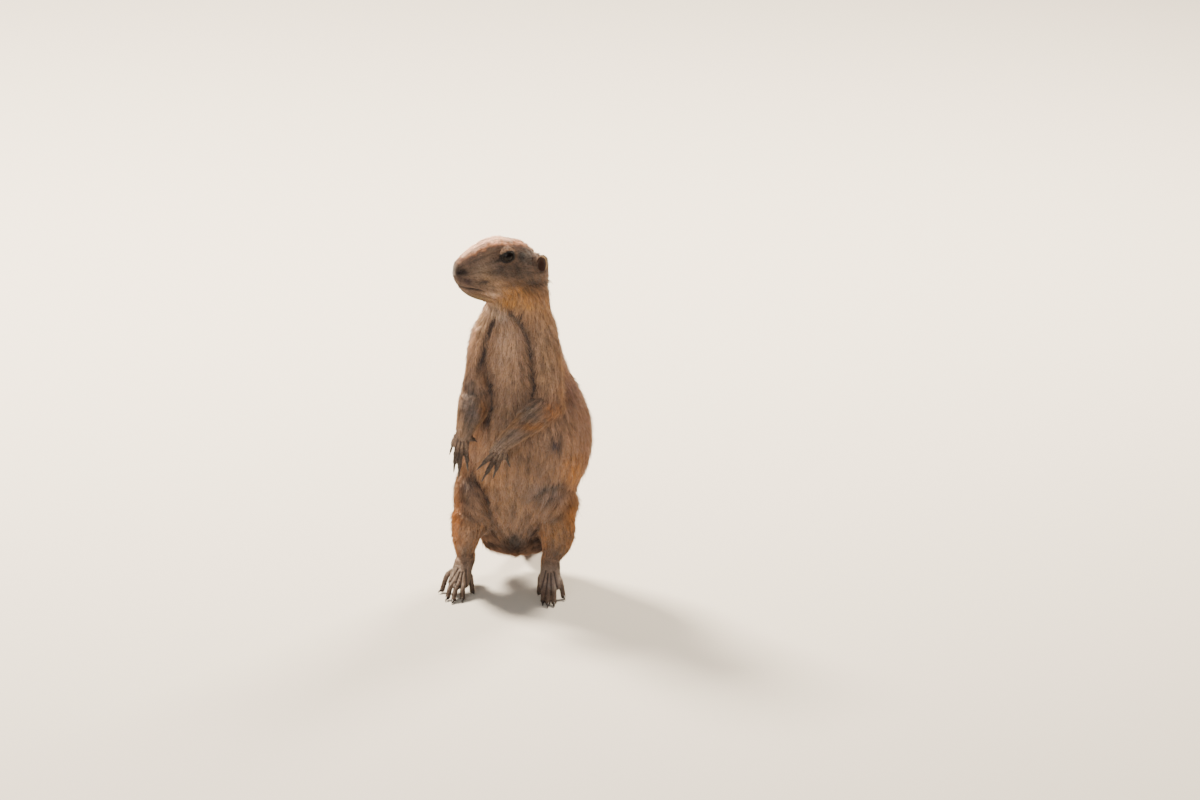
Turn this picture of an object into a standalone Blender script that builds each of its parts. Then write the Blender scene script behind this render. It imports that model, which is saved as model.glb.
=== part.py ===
"""A prairie dog standing upright on its hind feet, life size, with its head turned to its right.

Metres, +Z up. The animal faces -Y. +X is its left side. The floor is z = 0.
Shapes are tubes and balls of named sizes. Those of one soft mass are fused by a voxel remesh,
smoothed, thinned to a triangle budget and then parted into named pieces with thin gaps.
"""

import math

import bmesh
import bpy
import numpy as np

# Gaps between nodes, and how far a region that takes out a limb reaches past the limb's own surface
GAP = 0.0003
PART_GAP = 0.00045
CARVE_GAP = 0.0007
REGION_GROW = 0.0018
CLAW_LIFT = 0.0001

# Voxel sizes of the remesh, and the side of the blocks that cut a shape at a plane
HEAD_VOXEL = 0.0011
BODY_VOXEL = 0.0015
LIMB_VOXEL = 0.0007
BLOCK = 0.4

# Planes where the neck and the feet part from the rest
NECK_TOP = (-0.0020, 0.0050, 0.2545)
NECK_TOP_WAY = (-0.35, -0.12, 0.94)
NECK_BASE = (0.0, 0.0, 0.2320)
ANKLE_HEIGHT = 0.0265

# Head: its centre lies just ahead of the eyes, midway between them, and it looks past the animal's right shoulder
HEAD_CENTRE = np.array([-0.0152, 0.0020, 0.2912])
HEAD_TURN = math.radians(70)
EYE_PLACE = (-0.0010, 0.0143, -0.0008)
EYE_RADIUS = 0.0057
EYE_OPENING = (0.0054, 0.0042)
EYE_SLANT = math.radians(14)
LID_THICKNESS = 0.0012
EAR_PLACE = (-0.0289, 0.0183, -0.0112)
EAR_HALF = (0.0042, 0.0038, 0.0070)
EAR_CUP_SHIFT = (0.0014, 0.0024, 0.0002)
EAR_WALL = (0.0009, 0.0008, 0.0014)

# Triangle budgets after thinning
HEAD_TRIANGLES = 3450
BODY_TRIANGLES = 2000
ARM_TRIANGLES = 800
FOOT_TRIANGLES = 620

# Colours of the dry coat, the skin and the horn, as linear values
COAT = (0.42, 0.25, 0.13, 1.0)
PALE_COAT = (0.55, 0.37, 0.22, 1.0)
TAIL_COAT = (0.30, 0.17, 0.09, 1.0)
HORN = (0.035, 0.028, 0.024, 1.0)
EYE_BLACK = (0.010, 0.006, 0.004, 1.0)


def clear_scene():
    for thing in list(bpy.data.objects):
        bpy.data.objects.remove(thing)


def unit(vector):
    vector = np.asarray(vector, float)
    return vector / np.linalg.norm(vector)


def material(name, colour, roughness):
    """A plain surface of one colour. The looks of the coat are made elsewhere."""
    made = bpy.data.materials.new(name)
    made.use_nodes = True
    surface = made.node_tree.nodes["Principled BSDF"]
    surface.inputs["Base Color"].default_value = colour
    surface.inputs["Roughness"].default_value = roughness
    surface.inputs["Metallic"].default_value = 0.0
    return made


# Shapes: each is a pair of points and faces of one closed surface


def smooth_through(rows, count):
    """Reads count rows, evenly spaced, from a smooth curve through the given rows."""
    rows = np.array(rows, float)
    padded = np.vstack([2 * rows[0] - rows[1], rows, 2 * rows[-1] - rows[-2]])
    place = np.linspace(0, len(rows) - 1, count)
    first = np.minimum(place.astype(int), len(rows) - 2)
    t = (place - first)[:, None]
    a, b, c, d = (padded[first + k] for k in range(4))
    cubic = (3 * b - a - 3 * c + d) * t**3
    square = (2 * a - 5 * b + 4 * c - d) * t**2
    return 0.5 * (2 * b + (c - a) * t + square + cubic)


def ring_faces(rings, sides):
    """Faces of a closed tube whose last two points are its poles."""
    faces = []
    for ring in range(rings - 1):
        for side in range(sides):
            a = ring * sides + side
            b = ring * sides + (side + 1) % sides
            faces.append((a, b, b + sides, a + sides))
    start_pole = rings * sides
    end_pole = start_pole + 1
    last = (rings - 1) * sides
    for side in range(sides):
        after = (side + 1) % sides
        faces.append((after, side, start_pole))
        faces.append((last + side, last + after, end_pole))
    return faces


def tube(stations, front, sides=24, rings=24, domes=(1, 1), across_way=None, grow=0.0, caps=3):
    """A closed tube through stations of x, y, z, half width, depth to the front and depth behind.

    front is the direction that the first depth points to. domes says how long each rounded
    end is against its own depth, and caps how many rings it has. The sections stand square to
    the tube's own line, or all of them to the direction across_way. grow swells all of it.
    """
    rows = smooth_through(stations, rings)
    centres = rows[:, :3]
    along = np.gradient(centres, axis=0)
    along /= np.linalg.norm(along, axis=1)[:, None]
    if across_way is not None:
        along[:] = across_way
    ahead = np.asarray(front, float) - (along @ np.asarray(front, float))[:, None] * along
    ahead /= np.linalg.norm(ahead, axis=1)[:, None]
    across = np.cross(ahead, along)
    sizes = rows[:, 3:6] + grow

    dome_steps = np.radians(np.linspace(90, 0, caps + 2)[1:-1])
    order = [(0, -math.sin(t), math.cos(t)) for t in dome_steps]
    order += [(ring, 0.0, 1.0) for ring in range(rings)]
    order += [(rings - 1, math.sin(t), math.cos(t)) for t in dome_steps[::-1]]

    angles = np.linspace(0, 2 * math.pi, sides, endpoint=False)
    points = []
    for ring, push, scale in order:
        reach = min(sizes[ring]) * (domes[0] if push < 0 else domes[1])
        middle = centres[ring] + along[ring] * push * reach
        depth = np.where(np.sin(angles) > 0, sizes[ring, 1], sizes[ring, 2])
        out = np.outer(np.cos(angles) * sizes[ring, 0], across[ring])
        out += np.outer(np.sin(angles) * depth, ahead[ring])
        points.extend(middle + out * scale)
    points.append(centres[0] - along[0] * min(sizes[0]) * domes[0])
    points.append(centres[-1] + along[-1] * min(sizes[-1]) * domes[1])
    return np.array(points), ring_faces(len(order), sides)


def limb(path, radii, front=(0, -1, 0), sides=16, rings=18, domes=(1, 1), grow=0.0, caps=3):
    """A tube through points, with a half width and a half depth at each."""
    stations = [(*point, wide, deep, deep) for point, (wide, deep) in zip(path, radii)]
    return tube(stations, front, sides, rings, domes, grow=grow, caps=caps)


def ball(centre, half, axes=None, sides=20, rings=11):
    """An ellipsoid with half sizes along three axes, given as rows."""
    axes = np.eye(3) if axes is None else np.array(axes)
    rows = []
    for ring in range(rings):
        climb = math.pi * (ring + 1) / (rings + 1)
        for side in range(sides):
            turn = 2 * math.pi * side / sides
            flat = math.sin(climb)
            rows.append((math.cos(turn) * flat, math.sin(turn) * flat, -math.cos(climb)))
    rows += [(0, 0, -1), (0, 0, 1)]
    points = np.asarray(centre) + (np.array(rows) * half) @ axes
    return points, ring_faces(rings, sides)


def box_beyond(point, normal):
    """A block whose face lies at the point, and which fills the side that normal points to."""
    point = np.asarray(point, float)
    normal = unit(normal)
    side = unit(np.cross(normal, (0.3, 0.5, 0.8)))
    other = np.cross(normal, side)
    corners = []
    for depth in (0, 1):
        for a, b in ((-1, -1), (1, -1), (1, 1), (-1, 1)):
            corners.append(point + BLOCK * (a * side + b * other + depth * normal))
    faces = [(3, 2, 1, 0), (4, 5, 6, 7), (0, 1, 5, 4), (1, 2, 6, 5), (2, 3, 7, 6), (3, 0, 4, 7)]
    return np.array(corners), faces


# Objects made from shapes


def solid(name, shapes):
    """One object holding these shapes, with every shape's faces pointing out."""
    points = []
    faces = []
    for shape_points, shape_faces in shapes:
        start = len(points)
        points.extend(map(tuple, shape_points))
        faces.extend(tuple(start + i for i in face) for face in shape_faces)
    mesh = bpy.data.meshes.new(name)
    mesh.from_pydata(points, [], faces)
    form = bmesh.new()
    form.from_mesh(mesh)
    bmesh.ops.recalc_face_normals(form, faces=form.faces)
    form.to_mesh(mesh)
    form.free()
    thing = bpy.data.objects.new(name, mesh)
    bpy.context.scene.collection.objects.link(thing)
    return thing


def bake_modifiers(thing):
    """Keeps the mesh that the modifiers give, and drops them."""
    graph = bpy.context.evaluated_depsgraph_get()
    mesh = bpy.data.meshes.new_from_object(thing.evaluated_get(graph))
    thing.modifiers.clear()
    thing.data = mesh
    return thing


def duplicate(thing, name):
    copy = bpy.data.objects.new(name, thing.data.copy())
    bpy.context.scene.collection.objects.link(copy)
    return copy


def combine(thing, shape, operation):
    """Joins, cuts or keeps what is common with a closed shape, and removes the helper."""
    helper = solid("helper", [shape])
    change = thing.modifiers.new("change", "BOOLEAN")
    change.operation = operation
    change.solver = "EXACT"
    change.object = helper
    bake_modifiers(thing)
    bpy.data.objects.remove(helper)
    return thing


def cut(thing, shape):
    return combine(thing, shape, "DIFFERENCE")


def largest_piece_only(thing):
    """Drops the scraps that a cut leaves."""
    form = bmesh.new()
    form.from_mesh(thing.data)
    unseen = set(form.verts)
    pieces = []
    while unseen:
        edge_of_search = [unseen.pop()]
        piece = list(edge_of_search)
        while edge_of_search:
            for edge in edge_of_search.pop().link_edges:
                for vertex in edge.verts:
                    if vertex in unseen:
                        unseen.discard(vertex)
                        edge_of_search.append(vertex)
                        piece.append(vertex)
        pieces.append(piece)
    pieces.sort(key=len, reverse=True)
    scraps = [vertex for piece in pieces[1:] for vertex in piece]
    bmesh.ops.delete(form, geom=scraps, context="VERTS")
    form.to_mesh(thing.data)
    form.free()
    return thing


def fused(name, shapes, voxel, smoothing, triangles):
    """One soft closed surface round all the shapes, smoothed and thinned to about that many triangles."""
    thing = solid(name, shapes)
    remesh = thing.modifiers.new("fuse", "REMESH")
    remesh.mode = "VOXEL"
    remesh.voxel_size = voxel
    smooth = thing.modifiers.new("soften", "SMOOTH")
    smooth.factor = 0.5
    smooth.iterations = smoothing
    bake_modifiers(thing)
    thin = thing.modifiers.new("thin", "DECIMATE")
    thin.ratio = triangles / (2 * len(thing.data.polygons))
    bake_modifiers(thing)
    return largest_piece_only(thing)


def part_out(body, name, region, grown_region):
    """Takes the part of the body inside the region into a node of its own, with a gap round it."""
    part = duplicate(body, name)
    combine(part, region, "INTERSECT")
    cut(body, grown_region)
    largest_piece_only(body)
    return largest_piece_only(part)


def keep_beyond(thing, point, normal):
    """Cuts away all on the near side of a plane, and half a gap more."""
    return cut(thing, box_beyond(point + unit(normal) * PART_GAP / 2, -unit(normal)))


def split(thing, name, point, normal):
    """Parts an object at a plane. The far side goes into a node of its own."""
    point = np.asarray(point, float)
    far = duplicate(thing, name)
    keep_beyond(far, point, normal)
    keep_beyond(thing, point, -unit(normal))
    largest_piece_only(thing)
    return largest_piece_only(far)


def finish(thing, surface):
    thing.data.materials.clear()
    thing.data.materials.append(surface)
    thing.data.shade_smooth()
    thing.data.set_sharp_from_angle(angle=math.radians(45))
    return thing


# Trunk and neck, as level sections: x, y, z, half width, depth in front and depth behind
TRUNK = [
    (-0.0010, 0.0200, 0.0360, 0.0320, 0.0250, 0.0310),
    (-0.0010, 0.0180, 0.0500, 0.0390, 0.0340, 0.0380),
    (-0.0005, 0.0150, 0.0680, 0.0430, 0.0410, 0.0430),
    (0.0030, 0.0120, 0.0880, 0.0470, 0.0440, 0.0440),
    (0.0070, 0.0095, 0.1080, 0.0505, 0.0460, 0.0440),
    (0.0088, 0.0080, 0.1280, 0.0510, 0.0455, 0.0430),
    (0.0088, 0.0070, 0.1480, 0.0485, 0.0420, 0.0405),
    (0.0062, 0.0060, 0.1680, 0.0435, 0.0370, 0.0380),
    (0.0030, 0.0060, 0.1880, 0.0368, 0.0315, 0.0350),
    (0.0000, 0.0060, 0.2080, 0.0340, 0.0280, 0.0320),
    (-0.0020, 0.0055, 0.2260, 0.0322, 0.0252, 0.0290),
    (-0.0010, 0.0050, 0.2420, 0.0270, 0.0240, 0.0262),
    (0.0000, 0.0045, 0.2600, 0.0243, 0.0225, 0.0235),
]
THIGHS = {
    "left": ((0.0290, 0.0020, 0.0730), (0.0190, 0.0330, 0.0310)),
    "right": ((-0.0350, 0.0030, 0.0755), (0.0185, 0.0310, 0.0335)),
}

# Head sections: distance ahead of the head's centre, height of top, height of bottom, half width
HEAD_SECTIONS = [
    (0.0368, -0.0050, -0.0252, 0.0080),
    (0.0338, -0.0020, -0.0312, 0.0104),
    (0.0290, 0.0018, -0.0360, 0.0126),
    (0.0220, 0.0064, -0.0402, 0.0148),
    (0.0120, 0.0103, -0.0435, 0.0182),
    (0.0010, 0.0111, -0.0430, 0.0206),
    (-0.0095, 0.0080, -0.0420, 0.0216),
    (-0.0200, 0.0024, -0.0400, 0.0205),
    (-0.0295, -0.0040, -0.0370, 0.0170),
]
CHEEK = ((-0.0060, 0.0115, -0.0230), (0.0180, 0.0105, 0.0125))
LIP = ((0.0310, 0.0052, -0.0208), (0.0068, 0.0070, 0.0056))
SKULL = ((-0.0055, 0.0, -0.0048), (0.0205, 0.0197, 0.0125))
TEMPLE = ((-0.0250, 0.0112, -0.0152), (0.0095, 0.0085, 0.0118))
MOUTH_CENTRE = (0.0195, 0.0, -0.0262)
MOUTH_DROP = 0.0036
MOUTH_GROOVE = 0.0008
NOSTRIL = ((0.0380, 0.0078, -0.0132), (0.0022, 0.0013, 0.0016))


def head_axes():
    """Rows: the way the nose points, the animal's left and up."""
    ahead = np.array([-math.sin(HEAD_TURN), -math.cos(HEAD_TURN), 0.0])
    up = np.array([0.0, 0.0, 1.0])
    return np.array([ahead, np.cross(up, ahead), up])


def on_head(place):
    """A place given as distance ahead of, to the left of and above the head's centre."""
    return HEAD_CENTRE + np.asarray(place) @ head_axes()


def head_shapes():
    axes = head_axes()
    stations = []
    for ahead, top, bottom, wide in HEAD_SECTIONS:
        middle = on_head((ahead, 0, (top + bottom) / 2))
        deep = (top - bottom) / 2
        stations.append((*middle, wide, deep, deep))
    shapes = [tube(stations, axes[2], 32, 40, domes=(0.45, 0.65), across_way=-axes[0])]
    for side in (1, -1):
        flip = np.array([1, side, 1])
        for place, half in (CHEEK, LIP, TEMPLE):
            shapes.append(ball(on_head(np.array(place) * flip), half, axes))
        lid = EYE_RADIUS + LID_THICKNESS
        shapes.append(ball(on_head(np.array(EYE_PLACE) * flip), (lid,) * 3, axes))
    shapes.append(ball(on_head(SKULL[0]), SKULL[1], axes))
    return shapes


def trunk_shape():
    return tube(TRUNK, (0, -1, 0), 40, 60, domes=(0.55, 0.4), across_way=(0, 0, 1))


# Legs: the shank from below the knee to the ankle, and the foot on to the claws' tips
LEGS = {
    "left": {
        "shank": [
            (0.0310, -0.0140, 0.0660),
            (0.0318, -0.0080, 0.0460),
            (0.0298, -0.0040, 0.0350),
            (0.0262, -0.0030, 0.0250),
        ],
        "sizes": [(0.0150, 0.0170), (0.0138, 0.0152), (0.0116, 0.0122), (0.0080, 0.0086)],
        "ankle": (0.0258, -0.0030, 0.0250),
        "ball": (0.0255, -0.0280, 0.0098),
        "toes": [
            ((0.0185, -0.0150, 0.0140), (0.0155, -0.0290, 0.0020)),
            ((0.0205, -0.0260, 0.0105), (0.0195, -0.0490, 0.0006)),
            ((0.0245, -0.0280, 0.0105), (0.0236, -0.0540, 0.0006)),
            ((0.0288, -0.0275, 0.0105), (0.0288, -0.0530, 0.0006)),
            ((0.0325, -0.0190, 0.0130), (0.0378, -0.0380, 0.0010)),
        ],
    },
    "right": {
        "shank": [
            (-0.0405, -0.0130, 0.0660),
            (-0.0432, -0.0070, 0.0460),
            (-0.0440, -0.0030, 0.0350),
            (-0.0436, -0.0010, 0.0250),
        ],
        "sizes": [(0.0142, 0.0170), (0.0120, 0.0148), (0.0094, 0.0115), (0.0076, 0.0082)],
        "ankle": (-0.0435, -0.0010, 0.0250),
        "ball": (-0.0495, -0.0230, 0.0100),
        "toes": [
            ((-0.0410, -0.0120, 0.0140), (-0.0368, -0.0250, 0.0016)),
            ((-0.0455, -0.0220, 0.0105), (-0.0465, -0.0420, 0.0006)),
            ((-0.0495, -0.0240, 0.0105), (-0.0548, -0.0460, 0.0006)),
            ((-0.0535, -0.0230, 0.0105), (-0.0602, -0.0400, 0.0006)),
            ((-0.0552, -0.0090, 0.0150), (-0.0662, -0.0215, 0.0016)),
        ],
    },
}
TOE_RADIUS = 0.0028
FOOT_WIDTH = 0.0092
FOOT_DEPTH = 0.0060


def shank_shape(side, grow=0.0):
    leg = LEGS[side]
    return limb(leg["shank"], leg["sizes"], sides=18, rings=12, domes=(0.7, 0.8), grow=grow, caps=2)


def thigh_shape(side, grow=0.0):
    centre, half = THIGHS[side]
    return ball(centre, np.array(half) + grow, sides=20, rings=11)


def digit_path(root, tip, claw, arch):
    """The bones of a finger or toe, and its claw's tip. It bends away by arch."""
    root = np.array(root)
    tip = np.array(tip)
    end = tip - unit(tip - root) * claw + arch * 0.3
    return [root, (root + end) / 2 + arch, end, tip]


def toe_path(side, number):
    """The bones of a hind toe, with its end low enough to rest on the floor."""
    root, tip = LEGS[side]["toes"][number]
    path = digit_path(root, tip, FOOT_CLAW["length"], np.array([0, 0, 0.0022]))
    path[2][2] = TOE_RADIUS * 0.8
    return path


def foot_shapes(side):
    leg = LEGS[side]
    ankle = np.array(leg["ankle"])
    instep = (ankle + np.array(leg["ball"])) / 2 + np.array([0, 0, 0.0006])
    heel = ankle + np.array([0, 0.0065, -0.0050])
    sizes = [(0.0078, 0.0074), (0.0084, 0.0064), (FOOT_WIDTH, FOOT_DEPTH)]
    shapes = [shank_shape(side)]
    shapes.append(limb([ankle, instep, leg["ball"]], sizes, front=(0, 0, 1), domes=(1, 0.7)))
    shapes.append(ball(heel, (0.0066, 0.0068, 0.0072)))
    for number in range(5):
        radii = [(TOE_RADIUS, 0.0032), (TOE_RADIUS * 0.95, 0.0029), (TOE_RADIUS * 0.88, 0.0026)]
        shapes.append(limb(toe_path(side, number)[:3], radii, (0, 0, 1), 12, 10))
    return shapes


# Arms: shoulder to elbow, elbow to wrist, knuckles, and each digit's root and claw tip
ARMS = {
    "left": {
        "upper": [
            (0.0185, -0.0020, 0.2210),
            (0.0205, -0.0080, 0.2060),
            (0.0230, -0.0140, 0.1900),
            (0.0248, -0.0190, 0.1760),
            (0.0258, -0.0225, 0.1670),
        ],
        "upper_sizes": [(0.0125, 0.0130), (0.0140, 0.0140), (0.0132, 0.0130), (0.0125, 0.0125),
                        (0.0120, 0.0120)],
        "forearm": [
            (0.0258, -0.0225, 0.1670),
            (0.0130, -0.0330, 0.1590),
            (-0.0010, -0.0430, 0.1495),
            (-0.0128, -0.0495, 0.1410),
        ],
        "forearm_sizes": [(0.0122, 0.0120), (0.0112, 0.0105), (0.0088, 0.0082), (0.0066, 0.0058)],
        "knuckles": (-0.0170, -0.0520, 0.1330),
        "back": (-0.20, -0.95, 0.10),
        "digits": [
            ((-0.0165, -0.0500, 0.1385), (-0.0245, -0.0500, 0.1345)),
            ((-0.0200, -0.0530, 0.1345), (-0.0340, -0.0540, 0.1205)),
            ((-0.0185, -0.0535, 0.1310), (-0.0299, -0.0550, 0.1109)),
            ((-0.0150, -0.0530, 0.1295), (-0.0209, -0.0545, 0.1131)),
            ((-0.0105, -0.0520, 0.1335), (-0.0066, -0.0530, 0.1225)),
        ],
    },
    "right": {
        "upper": [
            (-0.0265, 0.0010, 0.2210),
            (-0.0308, -0.0020, 0.2080),
            (-0.0338, -0.0060, 0.1920),
            (-0.0352, -0.0100, 0.1780),
            (-0.0345, -0.0130, 0.1690),
        ],
        "upper_sizes": [(0.0100, 0.0130), (0.0102, 0.0130), (0.0094, 0.0115), (0.0108, 0.0115),
                        (0.0130, 0.0122)],
        "forearm": [
            (-0.0345, -0.0130, 0.1690),
            (-0.0378, -0.0225, 0.1610),
            (-0.0415, -0.0300, 0.1530),
            (-0.0443, -0.0350, 0.1460),
        ],
        "forearm_sizes": [(0.0132, 0.0122), (0.0122, 0.0108), (0.0096, 0.0080), (0.0070, 0.0060)],
        "knuckles": (-0.0470, -0.0365, 0.1385),
        "back": (-0.25, -0.95, -0.15),
        "digits": [
            ((-0.0400, -0.0350, 0.1440), (-0.0336, -0.0355, 0.1380)),
            ((-0.0428, -0.0370, 0.1375), (-0.0410, -0.0390, 0.1140)),
            ((-0.0462, -0.0375, 0.1366), (-0.0488, -0.0395, 0.1087)),
            ((-0.0496, -0.0370, 0.1375), (-0.0528, -0.0385, 0.1128)),
            ((-0.0520, -0.0350, 0.1400), (-0.0562, -0.0360, 0.1272)),
        ],
    },
}
PALM_SIZES = [(0.0066, 0.0052), (0.0074, 0.0044)]
FINGER_RADIUS = 0.0022


def finger_path(side, number):
    """The bones of a digit of the hand. Number 0 is the thumb."""
    root, tip = ARMS[side]["digits"][number]
    size = THUMB_CLAW if number == 0 else HAND_CLAW
    return digit_path(root, tip, size["length"], unit(ARMS[side]["back"]) * 0.0012)


def upper_arm_shape(side, grow=0.0):
    arm = ARMS[side]
    return limb(arm["upper"], arm["upper_sizes"], sides=18, rings=14, grow=grow, caps=2)


def lower_arm_shapes(side, grow=0.0):
    arm = ARMS[side]
    back = arm["back"]
    path = [arm["forearm"][-1], arm["knuckles"]]
    shapes = [
        limb(arm["forearm"], arm["forearm_sizes"], back, 16, 10, grow=grow, caps=2),
        limb(path, PALM_SIZES, back, 14, 4, grow=grow, caps=2),
    ]
    for number in range(5):
        thick = FINGER_RADIUS * (0.9 if number == 0 else 1.0)
        radii = [(thick * 1.08, thick * 1.1), (thick, thick * 1.05), (thick * 0.86, thick * 0.9)]
        path = finger_path(side, number)[:3]
        shapes.append(limb(path, radii, back, 10, 5, grow=grow, caps=2))
    return shapes


# Claws: a curved horn that tapers to its tip, its root sunk in the end of the finger or toe
CLAW_SINK = 0.0022
HAND_CLAW = {"length": 0.0088, "radius": 0.00150, "hook": 0.0009}
THUMB_CLAW = {"length": 0.0040, "radius": 0.0012, "hook": 0.0004}
FOOT_CLAW = {"length": 0.0062, "radius": 0.00150, "hook": 0.0006}
CLAW_TIP = 0.28


def claw_shape(path, above, size, grow=0.0):
    """A horn from the end of a digit's path to the claw's tip, bent away towards above."""
    end, tip = path[-2:]
    way = unit(tip - end)
    root = end - way * CLAW_SINK
    points = []
    radii = []
    for share in (0.0, 0.3, 0.62, 1.0):
        rise = size["hook"] * 4 * share * (1 - share)
        points.append(root + (tip - root) * share + unit(above) * rise)
        thick = size["radius"] * (1 - (1 - CLAW_TIP) * share)
        radii.append((thick * 0.85, thick))
    return limb(points, radii, above, 6, 4, domes=(0.6, 1.2), grow=grow, caps=1)


# Tail: out of the rump, down to the floor and along it, out to the tips of its hair
TAIL = [
    (0.0040, 0.0440, 0.0330, 0.0100, 0.0085, 0.0085),
    (0.0050, 0.0600, 0.0190, 0.0092, 0.0076, 0.0076),
    (0.0065, 0.0760, 0.0095, 0.0094, 0.0070, 0.0070),
    (0.0090, 0.0940, 0.0058, 0.0100, 0.0064, 0.0064),
    (0.0120, 0.1120, 0.0052, 0.0088, 0.0056, 0.0056),
    (0.0142, 0.1240, 0.0048, 0.0064, 0.0050, 0.0050),
    (0.0158, 0.1325, 0.0042, 0.0030, 0.0030, 0.0030),
]


def tail_shape(grow=0.0):
    return tube(TAIL, (0, 0, 1), 14, 12, domes=(0.8, 1.1), grow=grow, caps=2)


def make_eyes(head):
    """The eyeballs in their sockets, with lids left over them, open to the size of the eye."""
    axes = head_axes()
    eyes = []
    for side, name in ((1, "left"), (-1, "right")):
        centre = on_head(np.array(EYE_PLACE) * (1, side, 1))
        outward = axes[1] * side
        slant_ahead = unit(axes[0] * math.cos(EYE_SLANT) - axes[2] * math.sin(EYE_SLANT))
        slant_up = np.cross(outward, slant_ahead)
        window = [centre + outward * 0.0010, centre + outward * 0.0120]
        rows = [(*point, EYE_OPENING[0], EYE_OPENING[1], EYE_OPENING[1]) for point in window]
        cut(head, tube(rows, slant_up, 20, 4, domes=(0.2, 0.2)))
        socket = EYE_RADIUS + GAP
        cut(head, ball(centre, (socket,) * 3, axes, 20, 11))
        eyes.append(solid("eye_" + name, [ball(centre, (EYE_RADIUS,) * 3, axes, 14, 7)]))
    return eyes


def carve_mouth(head):
    """A groove along the closed lips, laid on the surface by casting rays from inside the muzzle."""
    axes = head_axes()
    centre = on_head(MOUTH_CENTRE)
    points = []
    for angle in np.radians(np.linspace(-98, 98, 17)):
        way = axes[0] * math.cos(angle) + axes[1] * math.sin(angle)
        drop = -MOUTH_DROP * (angle / math.radians(98)) ** 2
        hit, place, _, _ = head.ray_cast(centre + axes[2] * drop, way)
        if hit:
            points.append(np.array(place))
    radii = [(MOUTH_GROOVE, MOUTH_GROOVE)] * len(points)
    cut(head, limb(points, radii, axes[2], 6, 20, caps=1))


def carve_nostrils(head):
    axes = head_axes()
    place, half = NOSTRIL
    for side in (1, -1):
        centre = on_head(np.array(place) * (1, side, 1))
        cut(head, ball(centre, half, axes, 10, 5))


def make_ears(head):
    """Each ear is a cup that opens outwards and forwards, with its back sunk in the head."""
    axes = head_axes()
    ears = []
    for side, name in ((1, "left"), (-1, "right")):
        place = np.array(EAR_PLACE) * (1, side, 1)
        centre = on_head(place)
        ear = solid("ear_" + name, [ball(centre, EAR_HALF, axes, 14, 7)])
        cup = on_head(place + np.array(EAR_CUP_SHIFT) * (1, side, 1))
        cut(ear, ball(cup, np.array(EAR_HALF) - EAR_WALL, axes, 12, 6))
        cut(head, ball(centre, np.array(EAR_HALF) + GAP, axes, 20, 11))
        ears.append(ear)
    largest_piece_only(head)
    return ears


def make_head():
    """The head down to a slanting plane across the throat and the nape."""
    shapes = head_shapes() + [trunk_shape()]
    head = fused("head", shapes, HEAD_VOXEL, 5, HEAD_TRIANGLES)
    return largest_piece_only(keep_beyond(head, NECK_TOP, NECK_TOP_WAY))


def make_body():
    """Trunk, neck, upper arms and legs in one surface, still without the parts cut from it."""
    shapes = [trunk_shape()] + head_shapes()
    for side in ("left", "right"):
        shapes += [upper_arm_shape(side), thigh_shape(side), shank_shape(side)]
    body = fused("torso", shapes, BODY_VOXEL, 5, BODY_TRIANGLES)
    return largest_piece_only(keep_beyond(body, NECK_TOP, -unit(NECK_TOP_WAY)))


def make_foot(side, surface):
    """A hind foot from the ankle down, its toes flat on the floor, and its five claws."""
    foot = fused("foot_" + side, foot_shapes(side), LIMB_VOXEL, 3, FOOT_TRIANGLES)
    keep_beyond(foot, (0, 0, ANKLE_HEIGHT), (0, 0, -1))
    above = (0, 0, 1)
    for number in range(5):
        path = toe_path(side, number)
        cut(foot, claw_shape(path, above, FOOT_CLAW, GAP))
        claw = solid(f"claw_foot_{side}_{number + 1}", [claw_shape(path, above, FOOT_CLAW)])
        cut(claw, box_beyond((0, 0, CLAW_LIFT), (0, 0, -1)))
        finish(claw, surface)
    cut(foot, box_beyond((0, 0, 0), (0, 0, -1)))
    return largest_piece_only(foot)


def make_lower_arm(side, surface):
    """Forearm and hand, parted at the wrist, and five claws."""
    arm = ARMS[side]
    shapes = [upper_arm_shape(side)] + lower_arm_shapes(side)
    forearm = fused("forearm_" + side, shapes, LIMB_VOXEL, 3, ARM_TRIANGLES)
    largest_piece_only(keep_beyond(forearm, *elbow_plane(side)))
    wrist = np.array(arm["forearm"][-1])
    way = unit(np.array(arm["knuckles"]) - np.array(arm["forearm"][-2]))
    hand = split(forearm, "hand_" + side, wrist, way)
    for number in range(5):
        path = finger_path(side, number)
        size = THUMB_CLAW if number == 0 else HAND_CLAW
        cut(hand, claw_shape(path, arm["back"], size, GAP))
        claw = solid(f"claw_hand_{side}_{number + 1}", [claw_shape(path, arm["back"], size)])
        finish(claw, surface)
    return forearm, largest_piece_only(hand)


def elbow_plane(side):
    """A point and the way down the arm, for the cut that parts the upper arm from the forearm."""
    arm = ARMS[side]
    elbow = np.array(arm["upper"][-1])
    above = unit(elbow - np.array(arm["upper"][-2]))
    below = unit(np.array(arm["forearm"][1]) - elbow)
    return elbow, unit(above + below)


def take_upper_arm(body, side):
    """The arm down to the elbow, taken out of the body, which keeps a hollow for all of the arm."""
    upper = part_out(
        body,
        "upper_arm_" + side,
        upper_arm_shape(side, REGION_GROW),
        upper_arm_shape(side, REGION_GROW + PART_GAP),
    )
    elbow, bend = elbow_plane(side)
    keep_beyond(upper, elbow, -bend)
    for shape in lower_arm_shapes(side, CARVE_GAP):
        cut(body, shape)
    largest_piece_only(body)
    return largest_piece_only(upper)


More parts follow.
